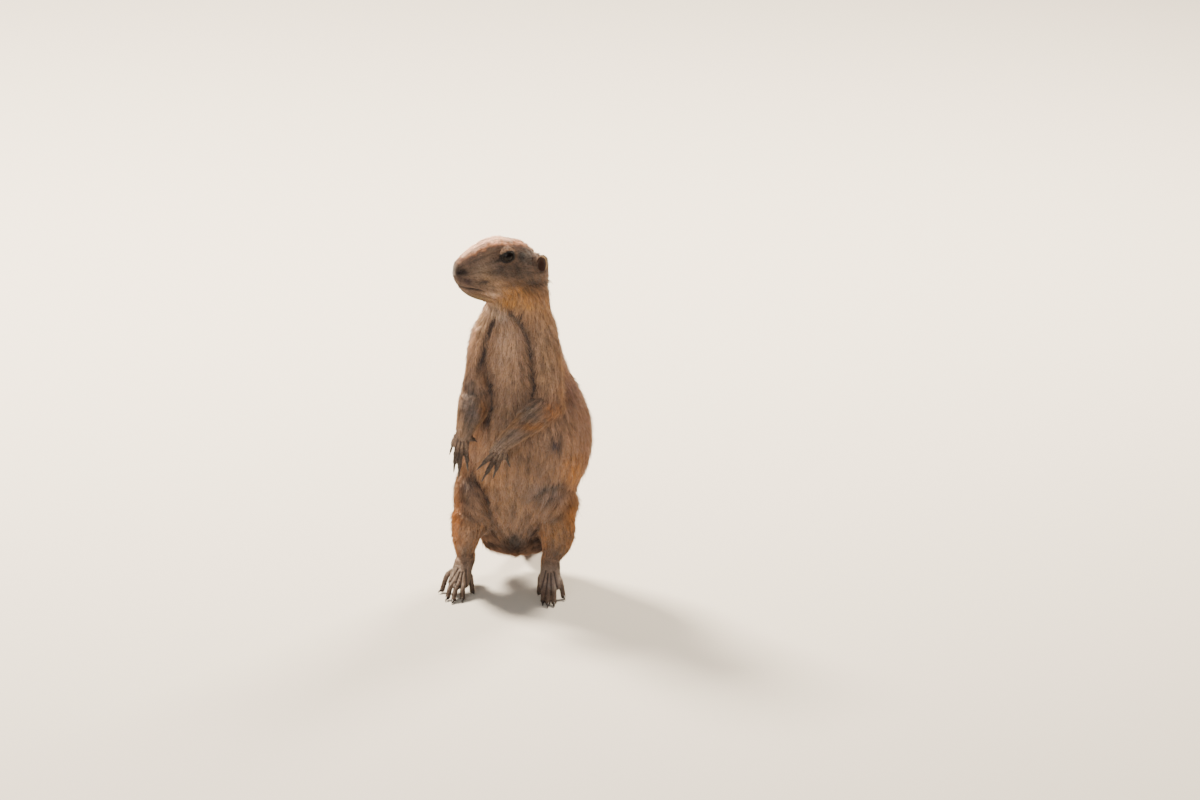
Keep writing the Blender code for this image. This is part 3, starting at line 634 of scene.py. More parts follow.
def soften(points, edges, share, times):
    # each time, point + half its share * (the mean of its neighbours - point)
    count = np.bincount(edges.ravel(), minlength=len(points))[:, None]
    ends = (edges, edges[:, ::-1])
    for _ in range(times):
        total = [sum(np.bincount(e[:, 0], points[e[:, 1], k], len(points)) for e in ends) for k in range(3)]
        points = points + 0.5 * share[:, None] * (np.stack(total, -1) / count - points)
    return points


def digitGrooves():
    # between each two toes or fingers, from where they part back towards the ankle or wrist, in
    # that view: starts at `parted` of the way to the tips, ends at `back` of the way to the joint
    lines = []
    for side in sides:
        leg, arm = legSizes[side], armSizes[side]
        foot, hand = (leg["toes"], leg["ankle"], 0.45, 0.42), (arm["digits"], arm["forearm"][-1], 0.50, 0.35)
        for digits, joint, parted, back in (foot, hand):
            parts = seenPlace(np.array(digits).reshape(-1, 3)).reshape(5, 2, 2)
            middles = (parts[:-1] + parts[1:]) / 2
            start = middles[:, 0] + (middles[:, 1] - middles[:, 0]) * parted
            end = middles[:, 0] + (seenPlace(np.array([joint])) - middles[:, 0]) * back
            lines += list(np.stack([start, end], 1))
    return lines


def skinPush(points, normals, mix, lips):
    # how far each point moves along its normal: folds, grooves, the mouth between rounded lips
    facing = smoothStep(normals @ viewWay, 0.0, 0.4)
    places = seenPlace(points)
    push = np.zeros(len(points))
    for _, line, wide, deep, _ in folds:
        push -= facing * deep * 0.001 * bell(toLine(places, line)[0], wide)
    onDigits = facing * (mix[:, partNames.index("foot")] + mix[:, partNames.index("hand")])
    for line in digitGrooves():
        push -= skinSettings["groove"] * onDigits * bell(toLine(places, line)[0], 0.7)
    local = headPlaces(points)
    rear = smoothStep(local[:, 0], -23, -31) * smoothStep(local[:, 2], -14, -8) * (normals[:, 2] > 0)
    push -= skinSettings["rear"] * rear + skinSettings["underEar"] * smoothStep(earShare(points), 0.95, 0.65)
    muzzle = local[:, 0] > 12
    gap = nearestOnPath(points[muzzle], lips) * 1000
    push[muzzle] += skinSettings["lipRoll"] * bell(gap - 2.0, 1.1) - skinSettings["lipGroove"] * bell(gap, 0.75)
    for side in (1, -1):
        gone = (points - onHead(mirrored(headSizes["nostril"], side))) @ headAxes.T
        gone[:, 2] += gone[:, 0] * 0.3
        push -= skinSettings["nostril"] * np.exp(-((gone / skinSettings["nostrilHalf"]) ** 2).sum(1))
    return push[:, None]


def makeSkin():
    skin = newObject("skin", skinShapes())
    remesh = skin.modifiers.new("fuse", "REMESH")
    remesh.mode = "VOXEL"
    remesh.voxel_size = skinSettings["voxel"]
    smooth = skin.modifiers.new("smooth", "SMOOTH")
    smooth.factor = 0.5
    smooth.iterations = skinSettings["smoothing"]
    keepModifiers(skin)
    lips = mouthPath(skin)
    points = arraysOf(skin.data)[0]
    edges = np.empty(len(skin.data.edges) * 2, np.int32)
    skin.data.edges.foreach_get("vertices", edges)
    softness = np.array([skinSettings["soft"].get(name, 0) for name in partNames])
    mix = limbFields(points)["mix"]
    putPoints(skin.data, soften(points, edges.reshape(-1, 2), mix @ softness, skinSettings["softTimes"]))
    skin.data.update()
    points, normals, _ = arraysOf(skin.data)
    points += normals * skinPush(points, normals, mix, lips)
    for side in (1, -1):
        points = openEye(points, side)
    points[:, 2] = np.maximum(points[:, 2], skinSettings["floorGap"])
    putPoints(skin.data, points)
    skin.data.update()
    thin = skin.modifiers.new("thin", "DECIMATE")
    thin.ratio = skinSettings["triangles"] / (2 * len(skin.data.polygons))
    keepModifiers(skin)
    skin.data.shade_smooth()
    return skin, lips


# The lie of the coat: each limb knows its line, and near places share the limbs' ways.

# millimetres of a tuft: length, width, and how far its tip stands off as a share of its length
coatSizes = {
    "trunk": (11.0, 0.56, 0.125),
    "head": (4.2, 0.38, 0.12),
    "upperArm": (7.8, 0.50, 0.12),
    "forearm": (5.2, 0.42, 0.11),
    "hand": (1.7, 0.28, 0.09),
    "thigh": (9.0, 0.54, 0.13),
    "shank": (6.2, 0.46, 0.12),
    "foot": (1.7, 0.28, 0.08),
    "tail": (11.0, 0.62, 0.16),
}
lieSettings = {
    "crotch": np.array([-0.0030, -0.0100, 0.0380]), "fanIn": 1.7, "cheekDrop": 0.85,
    "foldPull": 0.30, "foldReach": 8, "swirl": 0.15, "swirlSize": 0.021,
}
partNames = list(coatSizes)
limbs = []
digitRings = 6  # how many places a finger or toe keeps, which also tells them from the rest
limbFade = 0.0024


def addLimb(part, stations, front, sign=1, rings=12, acrossWay=None):
    centres, along, ahead, across, half = pathFrame(stations, front, rings, acrossWay)
    step = np.linalg.norm(np.diff(centres, axis=0), axis=1)
    limbs.append({
        "part": part, "sign": sign, "centres": centres, "along": along, "ahead": ahead, "across": across,
        "half": half, "step": step.mean(), "reach": np.concatenate([[0], np.cumsum(step)]),
    })


upright, level = (0, -1, 0), (0, 0, 1)  # the ways that the fronts of limbs face
addLimb("trunk", trunkSizes["stations"], upright, -1, 60, (0, 0, 1))
addLimb("head", headStations(), level, 1, 40, -headAxes[0])
addLimb("tail", trunkSizes["tail"], level, 1, 30)
for side in sides:
    leg, arm = legSizes[side], armSizes[side]
    centre, half = trunkSizes["thighs"][side]
    top, knee = np.array(centre) + (0, 0.012, 0.020), np.array(leg["shank"][0]) + (0, 0.004, -0.002)
    radii = [(half[0], half[1] * 0.8), (half[0] * 0.9, half[1] * 0.7)]
    addLimb("thigh", thicken([top, knee], radii), upright)
    addLimb("shank", thicken(leg["shank"], leg["sizes"]), upright)
    addLimb("foot", thicken([leg["ankle"], leg["ball"]], legSizes["foot"][::2]), level)
    addLimb("upperArm", thicken(arm["upper"], arm["upperSizes"]), upright)
    addLimb("forearm", thicken(arm["forearm"], arm["forearmSizes"]), arm["back"])
    addLimb("hand", thicken([arm["forearm"][-1], arm["knuckles"]], armSizes["palm"]), arm["back"], 1, 4)
    toe = [(0.0028, 0.0032), (0.0026, 0.0029), (0.0024, 0.0026)]
    finger = [(0.0023, 0.0024), (0.0022, 0.0023), (0.0019, 0.0020)]
    for number in range(5):
        addLimb("foot", thicken(toePath(side, number)[:3], toe), level, 1, digitRings)
        addLimb("hand", thicken(fingerPath(side, number)[:3], finger), arm["back"], 1, digitRings)


def limbFields(points):
    # away = (the point's place in the limb's oval section - 1) * its half size, and past an end
    # the distance to it; a limb's share = e to the power of minus away over limbFade
    count = len(points)
    fields = {key: np.zeros(count) for key in ("angle", "reach", "wide")}
    fields.update(away=np.full(count, 1e9), limb=np.zeros(count, int))
    lie, mix = np.zeros((count, 3)), np.zeros((count, len(partNames)))
    for number, one in enumerate(limbs):
        centres = one["centres"]
        pick = (-2 * points @ centres.T + dot(centres, centres)).argmin(1)
        local = points - centres[pick]
        ahead, x, y = (dot(local, one[key][pick]) for key in ("along", "across", "ahead"))
        wide = one["half"][pick, 0]
        deep = np.where(y > 0, one["half"][pick, 1], one["half"][pick, 2])
        away = (np.hypot(x / wide, y / deep) - 1) * np.minimum(wide, deep)
        away = away + np.maximum(np.abs(ahead) - one["step"], 0)
        share = np.exp(-np.maximum(away, -0.002) / limbFade)
        lie += (share * one["sign"])[:, None] * one["along"][pick]
        mix[:, partNames.index(one["part"])] += share
        closer = away < fields["away"]
        found = {
            "away": away, "limb": number, "angle": np.arctan2(y / deep, x / wide),
            "reach": one["reach"][pick] + ahead, "wide": one["half"][:, 0].max(),
        }
        for key, values in found.items():
            fields[key] = np.where(closer, values, fields[key])
    fields["lie"] = lie
    fields["mix"] = mix / mix.sum(1, keepdims=True)
    fields["sizes"] = fields["mix"] @ np.array(list(coatSizes.values()))
    fields["part"] = np.array([one["part"] for one in limbs])[fields["limb"]]
    return fields


skin, lips = makeSkin()
print("skin made,", len(skin.data.polygons), "faces")


def coatLie(points, normals, fields):
    # down the limb, fanned in to the crotch low on the belly, down over the cheeks, and combed
    # into the folds from both sides
    lie = unit(fields["lie"])
    facing = smoothStep(-normals[:, 1], 0.0, 0.6)
    low = smoothStep(points[:, 2], 0.150, 0.060) * facing * np.isin(fields["part"], ("trunk", "thigh"))
    lie += lieSettings["fanIn"] * low[:, None] * unit(lieSettings["crotch"] - points)
    places = headPlaces(points)
    onCheek = (fields["part"] == "head") * smoothStep(places[:, 0], 28, 12) * smoothStep(places[:, 2], -3, -17)
    lie[:, 2] -= lieSettings["cheekDrop"] * onCheek
    seen = seenPlace(points)
    combed = lieSettings["foldPull"] * facing * ~np.isin(fields["part"], ("head", "hand", "foot"))
    for _, line, *_ in folds:
        gap, ways = toLine(seen, line)
        pull = combed * bell(gap, lieSettings["foldReach"]) * (gap > 0.5)
        ways = ways / np.maximum(gap, 1e-6)[:, None]
        lie += pull[:, None] * (ways[:, :1] * (1, 0, 0) + ways[:, 1:] * viewUp)
    swirl = [waves(points, lieSettings["swirlSize"], seed) for seed in (3, 4, 5)]
    lie += lieSettings["swirl"] * np.stack(swirl, -1)
    return unit(lie - dot(lie, normals)[:, None] * normals)


# The markings, and the light and shade painted with them, are shared by the skin and the coat.

# base colours of each part: towards the front, the side and the back
partColours = {
    "trunk": ("#a17c60", "#9f7453", "#7f5c46"),
    "head": ("#816652", "#765d4c", "#a07452"),
    "upperArm": ("#a17c60", "#9d7553", "#80604b"),
    "forearm": ("#7d6858", "#8c6b4d", "#8a694c"),
    "hand": ("#8e7561", "#6d5747", "#5f4c3f"),
    "thigh": ("#86674f", "#996c44", "#85593a"),
    "shank": ("#8f6a4d", "#a26e42", "#8f6440"),
    "foot": ("#957c69", "#7d6955", "#75604e"),
    "tail": ("#8d6242", "#875f40", "#7c5638"),
}
# on the body, in millimetres in the view: name, parts, place, half sizes, colour, strength; some are painted
# shade or painted sunlit rims
bodyMarks = [
    ("pale chest", "trunk", (-11, 197), (11, 27), "#c09d80", 0.85),
    ("lower chest", "trunk", (-9, 164), (11, 18), "#a3836a", 0.8),
    # painted shade on the belly where the arms and paws hang over it
    ("painted shade on the belly behind the paws", "trunk", (-2, 132), (26, 24), "#876d58", 0.85),
    ("middle of the belly", "trunk", (9, 102), (17, 14), "#694d36", 0.75),
    ("warm belly", "trunk", (-25, 88), (13, 10), "#bd8c60", 0.7),
    ("low belly", "trunk", (-4, 68), (14, 16), "#785d45", 0.65),
    ("side of the belly", "trunk", (27, 119), (11, 25), "#9b7a62", 0.5),
    ("dark tuft on the flank", "trunk", (30.5, 116), (3.8, 7), "#302930", 0.9),
    ("edge of the back", "trunk", (43, 166), (6, 25), "#76554b", 0.7),
    ("back of the flank", "trunk", (53, 127), (5, 28), "#8f6c5b", 0.5),
    # painted highlight: a warm sunlit rim along the edge of the left hip
    ("painted sunlit rim on the hip", "trunk", (45, 91), (11, 13), "#b67c42", 0.7),
    # painted shade under the belly, between the legs
    ("painted shade under the belly between the legs", "trunk", (-6, 33), (26, 8), "#4f3a2c", 0.75),
    # painted shade in the crotch, between the thighs
    ("crotch", "trunk", (-4, 36), (8, 9), "#2f211d", 0.9),
    ("under the chin", "trunk head", (-16, 223), (9, 5), "#ebccae", 0.9),
    ("yellow throat", "trunk head", (-2, 229), (20, 6), "#bf8a4c", 0.75),
    ("side of the neck", "trunk head", (21, 219), (12, 11), "#ac835d", 0.6),
    # painted highlight: the sunlit rim along the outer edge of the right shoulder
    ("right shoulder", "trunk upperArm", (-31, 213), (6, 10), "#eac298", 0.85),
    # painted highlight: the sunlit rim down the outer edge of the right arm
    ("painted sunlit rim of the outer right arm", "upperArm", (-36, 193), (5, 28), "#c99c77", 0.7),
    ("left upper arm", "upperArm trunk", (20, 185), (10, 28), "#b59170", 0.75),
    ("left elbow", "upperArm forearm", (27, 143), (8, 8), "#a0693d", 0.7),
    ("under the left forearm", "forearm", (12, 130), (12, 4), "#a4703f", 0.7),
    ("top of the left forearm", "forearm", (2, 147), (11, 6), "#93877c", 0.8),
    ("front of the right forearm", "forearm upperArm", (-39, 156), (6, 18), "#6d5f57", 0.85),
    ("inside the right elbow", "forearm", (-29, 145), (3, 7), "#9c6a3c", 0.8),
    ("right thumb and its pad", "hand forearm", (-34.5, 120), (3.2, 4), "#33241f", 0.85),
    # painted highlight: the sunlit rim along the outer edge of the right wrist
    ("painted sunlit rim of the outer right wrist", "forearm", (-48, 131), (3, 10), "#bb9069", 0.7),
    ("right knee", "thigh shank", (-42, 77), (8, 14), "#5a4940", 0.85),
    # painted highlight: the orange sunlit rim along the outer edge of the right leg
    ("painted sunlit rim of the outer right leg", "thigh shank", (-51, 57), (4, 21), "#ad6a2d", 0.8),
    # painted shade in the crease at the left knee, where the belly meets the thigh
    ("left knee", "thigh shank trunk", (23, 76), (12, 8), "#7d6e66", 0.8),
    ("front of the left shank", "shank", (33, 45), (8, 12), "#916531", 0.45),
    # painted highlight: the orange sunlit rim along the outer edge of the left leg
    ("painted sunlit rim of the outer left leg", "thigh shank", (43, 53), (5, 20), "#a06830", 0.7),
    ("left fingers", "hand", (-21, 96), (14, 9), "#33271f", 0.75),
    ("left foot in the body's shade", "foot", (27, 0), (9, 14), "#88786f", 0.5),
    ("right toes", "foot", (-52, -7), (15, 7), "#6f5442", 0.6),
    ("left ankle", "foot shank", (27, 24), (8, 6), "#6d5849", 0.7),
    ("right ankle", "foot shank", (-43.5, 24), (7, 6), "#6d5849", 0.7),
]
# on the head, alike on both sides, in millimetres ahead of, out from and up from its centre
headMarks = [
    ("side of the muzzle", (21, 14, -12), (12, 7, 8), "#a48a73", 0.8),
    ("top of the muzzle's side", (31, 7, -5), (8, 8, 4), "#6a5143", 0.8),
    ("cheek", (-4, 20, -16), (15, 8, 9), "#5d493b", 0.85),
    ("temple", (-16, 16, -2), (9, 8, 6.5), "#2e241f", 0.9),
    ("under the cheek", (-5, 16, -34), (17, 11, 8.5), "#bf8238", 0.85),
    ("jaw corner", (-24, 16, -24), (9, 10, 9), "#503d31", 0.8),
    ("front of the cheek", (10, 14, -31), (8, 6, 6), "#bd9c80", 0.85),
    ("pale streak behind the whiskers", (16, 17, -16), (4, 6, 4), "#a3866a", 0.7),
    ("pale streak on the cheek", (9, 17, -24), (5, 6, 5), "#b08d6c", 0.75),
    ("below the eye", (1, 20, -8), (9, 6, 3.4), "#46362d", 0.8),
    # painted shade in the hollow before the ear
    ("painted shade in the hollow before the ear", (-25, 18, -12), (3, 4, 3.4), "#3f3028", 0.75),
    ("pad of the whiskers", (21, 12, -21), (7, 5, 5), "#8d7158", 0.6),
    ("dark dash on the pad", (19, 15, -21), (3.4, 4, 1.7), "#3c2c25", 0.75),
    ("chin", (26, 0, -38), (12, 12, 4), "#82704b", 0.85),
    ("upper lip", (31, 9, -21), (4.5, 6, 3.6), "#4c3936", 0.9),
    ("nose", (38.5, 5, -13), (5, 7, 5.4), "#1f1411", 0.95),
    ("cleft of the lip", (38, 0, -20), (5, 1.0, 5), "#33251f", 0.8),
    ("edge of the nose", (37, 7, -19), (1.5, 3, 3.5), "#3b2a25", 0.7),
    # dark skin behind the nostril, with the shadow of the nostril's wing painted over it
    ("dark skin and painted shadow behind the nostril", (34, 9, -13), (5.5, 5, 2.6), "#33241e", 0.9),
    ("brow behind the eye", (-15, 13, 5), (5, 5, 1.8), "#744a3e", 0.7),
]
# the pale crown: partly the coat's own colour, partly sunlight painted on the top of the head
crownSettings = {  # how far down from the profile it reaches, in mm, at places ahead of the centre
    "places": (-30, -22, -15, -9, 2.5, 9.5, 15.5, 22.7, 30, 37),
    "depths": (0.0, 0.2, 0.9, 2.6, 4.0, 3.8, 4.0, 4.0, 3.2, 1.2),
    "colour": "#ffd5b3", "edge": "#d2966e", "strength": 0.96, "noise": 0.8,
}
coatTint = np.array([0.89, 0.925, 1.02])  # times every colour above
eyeMarks = {  # sizes in half sizes of the opening
    "ring": "#8c694d", "ringPlace": 1.42, "ringWide": 0.22, "edge": "#1c1412",
    "corner": "#241916", "cornerPlace": (1.45, -0.14), "cornerHalf": (0.46, 0.36),
}
coatNoise = {  # strength, size in metres and seed
    "flank": (0.25, 0.030, 11), "marks": (0.35, 0.007, 12),
    "crown": (1, 0.006, 13), "folds": (0.16, 0.012, 14),
}
# dark colours: real marks, and painted shade in the folds, in the nostril and down the sides of fingers and toes
darkMarksAndShades = {
    "fold": "#3c2f2c", "whisker": "#3d2e27", "lips": "#2c1e19", "nostril": "#1d120e", "tailTip": "#3a2b22",
    "finger": "#392e27", "fingerSideShade": "#2b201a", "toe": "#523d2e", "toeSideShade": "#32261f",
}
whiskerSpots = [(17, -22), (21, -19), (22, -23), (25, -21), (26, -17), (29, -19), (30, -23)]


def blend(colours, share, hexColour):
    return colours + (linear(hexColour) - colours) * np.clip(share, 0, 1)[:, None]


def stain(colours, gone, half, share, hexColour, fall=0.8):
    # a soft oval mark: its share fades by e to the power of -fall * the square of gone / half
    return blend(colours, share * np.exp(-fall * ((gone / half) ** 2).sum(1)), hexColour)


def crownColoursAndSunlight(colours, local, share, noise):
    # the crown is pale down to a few millimetres under the profile of the head: partly the coat's own pale
    # crown, partly sunlight painted on the top of the head
    profile = np.array(headSizes["sections"])[::-1] * 1000
    under = np.interp(local[:, 0], profile[:, 0], profile[:, 1]) - local[:, 2]
    depth = np.interp(local[:, 0], crownSettings["places"], crownSettings["depths"])
    depth += crownSettings["noise"] * noise - under
    share = share * crownSettings["strength"]
    colours = blend(colours, share * smoothStep(depth, -1.6, 0.8), crownSettings["edge"])
    top = smoothStep(depth, 0.2, 2.6) * (1 - 0.6 * smoothStep(local[:, 0], -6, -18))
    return blend(colours, share * top, crownSettings["colour"])


def eyeRing(colours, points, onSide):
    # a pale ring round the eye, with a dark edge and a dark corner towards the nose
    x, y, _ = eyePlaces(points, 1)
    q = np.hypot(x / (1 + 0.14 * (x > 0)), y)
    ring = bell(q - eyeMarks["ringPlace"], eyeMarks["ringWide"]) * (0.75 + 0.25 * np.clip(y - 0.4 * x, -1, 1))
    colours = blend(colours, onSide * ring * 0.6, eyeMarks["ring"])
    colours = blend(colours, onSide * smoothStep(q, 1.26, 1.10), eyeMarks["edge"])
    corner = np.stack([x, y], -1) - eyeMarks["cornerPlace"]
    return stain(colours, corner, eyeMarks["cornerHalf"], onSide * 0.92, eyeMarks["corner"], 1)


def digitColours(colours, fields, normals, facing, places):
    # fingers and toes darken to their ends, and painted shade darkens them down their sides to the gaps between
    # them
    reach = fields["reach"]
    digits = np.array([len(one["centres"]) == digitRings for one in limbs])[fields["limb"]]
    above = np.array([one["ahead"][0] for one in limbs])[fields["limb"]]
    down = digits * smoothStep(dot(normals, above), 0.62, 0.05)
    fingers, toes = fields["part"] == "hand", fields["part"] == "foot"
    colours = blend(colours, digits * smoothStep(reach, 0.001, 0.010) * fingers * 0.88, darkMarksAndShades["finger"])
    colours = blend(colours, down * fingers * 0.85, darkMarksAndShades["fingerSideShade"])
    colours = blend(colours, digits * smoothStep(reach, 0.004, 0.015) * toes * 0.8, darkMarksAndShades["toe"])
    colours = blend(colours, down * toes * 0.75, darkMarksAndShades["toeSideShade"])
    # painted shade in the grooves between the digits
    for line in digitGrooves():
        groove = facing * 0.8 * bell(toLine(places, line)[0], 0.7)
        colours = blend(colours, (fingers | toes) * groove, darkMarksAndShades["fingerSideShade"])
    return colours


def coatColours(points, normals, fields):
    part, mix = fields["part"], fields["mix"]

    def shareOf(names):
        return mix[:, [partNames.index(name) for name in names.split()]].sum(1)

    def noise(name):
        strength, size, seed = coatNoise[name]
        return strength * waves(points, size, seed)

    front, flank, back = (mix @ np.array([linear(partColours[name][k]) for name in partNames]) for k in range(3))
    toBack = normals[:, 1] + noise("flank")
    colours = flank + (front - flank) * smoothStep(-toBack, 0.15, 0.75)[:, None]
    colours = colours + (back - colours) * smoothStep(toBack, 0.0, 0.6)[:, None]
    rough = 1 + noise("marks")
    facing = smoothStep(normals @ viewWay, -0.05, 0.35)
    places = seenPlace(points)
    for _, names, place, half, colour, strength in bodyMarks:
        colours = stain(colours, places - place, half, shareOf(names) * facing * rough * strength, colour)
    # painted shade along each fold: a dark core in the crease and a soft wide shade beside it
    broken = 0.95 + noise("folds")
    foldShadeShare = facing * (1 - shareOf("hand foot")) * rough / 1.45
    for _, line, wide, _, dark in folds:
        gap = toLine(places, line)[0] / wide
        shadow = bell(gap, 0.7) * broken + 0.65 * bell(gap, 2.6)
        colours = blend(colours, foldShadeShare * dark * shadow, darkMarksAndShades["fold"])

    onHead = part == "head"
    local = headPlaces(points)
    colours = crownColoursAndSunlight(colours, local, shareOf("head"), noise("crown"))
    for _, centre, half, colour, strength in headMarks:
        colours = stain(colours, local - centre, half, shareOf("head trunk") * rough * strength, colour)
    for spot in whiskerSpots:
        colours = stain(colours, local[:, ::2] - spot, (1.0, 0.7), onHead * 0.6, darkMarksAndShades["whisker"], 1)
    dark = np.zeros(len(points))
    dark[onHead] = bell(nearestOnPath(points[onHead], lips) * 1000, 1.25)
    colours = blend(colours, dark * 0.9, darkMarksAndShades["lips"])
    # the nostril: dark skin, with the shade inside its opening painted in
    nostril = np.array(headSizes["nostril"]) * 1000 - (1.2, 0, 0)
    colours = stain(colours, local - nostril, (4.2, 3.2, 2.3), onHead, darkMarksAndShades["nostril"], 0.7)
    colours = eyeRing(colours, points, onHead * (local[:, 1] > headSizes["eyePlace"][1] * 1000 - 2))
    tailTip = (part == "tail") * smoothStep(fields["reach"], 0.055, 0.075)
    colours = blend(colours, tailTip, darkMarksAndShades["tailTip"])
    return digitColours(colours, fields, normals, facing, places) * coatTint


def addNode(tree, kind, settings=None, links=None):
    # adds one node; settings go by input name or property, links from another node's output
    node = tree.nodes.new(kind)
    for key, value in (settings or {}).items():
        if key in node.inputs:
            node.inputs[key].default_value = value
        else:
            setattr(node, key, value)
    for key, source in (links or {}).items():
        tree.links.new(source, node.inputs[key])
    return node


def newMaterial(name, settings):
    material = bpy.data.materials.new(name)
    material.use_nodes = True
    tree = material.node_tree
    surface = tree.nodes["Principled BSDF"]
    for key, value in settings.items():
        surface.inputs[key].default_value = value
    return material, tree, surface


def addGrain(tree, size, detail):
    # a fine noise on the piece's own place, each grain about size long
    place = addNode(tree, "ShaderNodeTexCoord").outputs["Object"]
    grain = addNode(tree, "ShaderNodeTexNoise", {"Scale": 1 / size, "Detail": detail}, {"Vector": place})
    return grain.outputs["Fac"]


def paintedMaterial(name, settings, strength, speckleSize):
    # the colour laid on the piece's own points, times a fine speckle
    material, tree, surface = newMaterial(name, settings)
    colour = addNode(tree, "ShaderNodeAttribute", {"attribute_name": "coatColour"})
    speckle = addGrain(tree, speckleSize, 3.0)
    spread = {"From Min": 0.3, "From Max": 0.7, "To Min": 1 - strength, "To Max": 1 + strength}
    shade = addNode(tree, "ShaderNodeMapRange", spread, {"Value": speckle})
    factors = {0: colour.outputs["Color"], 1: shade.outputs["Result"]}
    mix = addNode(tree, "ShaderNodeVectorMath", {"operation": "MULTIPLY"}, factors)
    tree.links.new(mix.outputs["Vector"], surface.inputs["Base Color"])
    return material, tree, surface, speckle


def grainMaterial(name, settings, dark, pale, grainSize):
    # two near shades of one stuff, mixed by a fine noise
    material, tree, surface = newMaterial(name, settings)
    ramp = addNode(tree, "ShaderNodeValToRGB", links={"Fac": addGrain(tree, grainSize, 2.0)})
    for stop, colour in zip(ramp.color_ramp.elements, (dark, pale)):
        stop.color = (*linear(colour), 1)
    tree.links.new(ramp.outputs["Color"], surface.inputs["Base Color"])
    return material


# guard hair: banded and dull, so light spreads and only a soft sheen is left
hairFinish = {"Roughness": 0.72, "Specular IOR Level": 0.28, "Sheen Weight": 0.15, "Sheen Roughness": 0.45}
furMaterial = paintedMaterial("guard hair, banded brown and buff", hairFinish, 0.16, 0.0016)[0]
# hide: the same dull hair worn short, with a fine roughness of its own
hideMaterial, tree, surface, speckle = paintedMaterial("hide under short hair", hairFinish, 0.22, 0.0009)
bump = addNode(tree, "ShaderNodeBump", {"Strength": 0.35, "Distance": 0.0004}, {"Height": speckle})
tree.links.new(bump.outputs["Normal"], surface.inputs["Normal"])
# keratin claw: dense dark horn, rubbed smooth, so it takes a soft shine
hornFinish = {"Roughness": 0.42, "Specular IOR Level": 0.38, "IOR": 1.54}
hornMaterial = grainMaterial("claw horn, dark keratin", hornFinish, "#15110f", "#3a302a", 0.0011)
# wet eye: nearly black brown iris behind a clear cornea, so it takes sharp highlights
eyeFinish = {"Roughness": 0.05, "IOR": 1.376, "Specular IOR Level": 0.22}
eyeMaterial = paintedMaterial("eye, dark brown under a wet cornea", eyeFinish, 0.2, 0.0007)[0]
# bare skin: moist rims of the lids and lips, dark and slightly shiny
rimFinish = {"Roughness": 0.5, "Specular IOR Level": 0.3}
rimMaterial = grainMaterial("bare dark skin of lids and lips", rimFinish, "#100a08", "#211612", 0.0008)
# whiskers: stiff black keratin, which shines along its length
whiskerMaterial = grainMaterial("whisker keratin", {"Roughness": 0.35}, "#1d1714", "#3b302c", 0.003)


def setColours(mesh, colours):
    attribute = mesh.color_attributes.new("coatColour", "FLOAT_COLOR", "POINT")
    rgba = np.ones((len(colours), 4), np.float32)
    rgba[:, :3] = colours
    attribute.data.foreach_set("color", rgba.ravel())


skinPoints, skinNormals, skinTriangles = arraysOf(skin.data)
skinFields = limbFields(skinPoints)
# the hide under the tufts is darkened: the wool there is darker than the tips, and the shade in the gaps between
# the tufts is painted in too; bare skin is darkened less
hideShades = {"under": 0.62, "bare": 0.85}  # the wool under the tufts is darker than the tips
bare = np.isin(skinFields["part"], ("hand", "foot")) | (headPlaces(skinPoints)[:, 0] > 30)
shade = np.where(bare, hideShades["bare"], hideShades["under"])
setColours(skin.data, coatColours(skinPoints, skinNormals, skinFields) * shade[:, None])
skin.data.materials.append(hideMaterial)
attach(skin, "root")
flesh = ["torso", "neck", "head", "tail"]
for part in ("upper_arm", "forearm", "hand", "thigh", "shank", "foot"):
    flesh += [part + "_left", part + "_right"]
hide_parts(*flesh)
print("skin coloured")


# The coat is of tapered tufts, three sided, bent once and rooted in the skin.

coatSettings = {
    "tufts": 145000,
    "most": 19900,  # in one piece, at ten triangles each
    "density": {"trunk": 1.5, "thigh": 1.5, "hand": 0.4, "foot": 0.25},  # times one to a part not named
    "headDensity": 1.25,
    "sunk": 0.0005,
    "guardShare": 0.07,
    "patch": 0.003,
    "clump": 0.0055,
    "seenAt": 0.55,
    "bands": (0.55, 0.98, 1.02, 1.22),  # dark at the root, true in the middle, pale at the tip
    "thick": 0.42,  # of the width
    "rootWide": 0.80,
    "middle": (0.48, 0.75), "tip": (0.97, 1.05),  # shares of the length along, and of the lift
    "spread": 0.10,
    "clumpPull": 0.16,
    "floor": (0.0002, 0.0004, 0.0002, 0.0004, 0.0007, 0.0004, 0.0006),  # least height of each point
    "vary": ((0.75, 0.8, 0.7), (1.2, 1.2, 1.3)),  # times the length, width and lift
    "guard": (1.2, 0.8, 1.7),
    "bareNose": ((39.5, 0, -12.5), (4.0, 7.0, 4.5)), "bareEye": 1.22, "bareEar": 1.05,
    "front": 0.05, "high": 0.136, "left": 0.002,  # where the trunk's pieces meet
}
# places where the hair stands off more, in millimetres in the view: name, place, half sizes, times
ruffles = [
    ("flank behind the right paw", (-43, 108), (7, 8), 2.6),
    ("waist above the left thigh", (46, 76), (5, 8), 2.2),
    ("right shoulder", (-33, 216), (5, 8), 1.5),
]


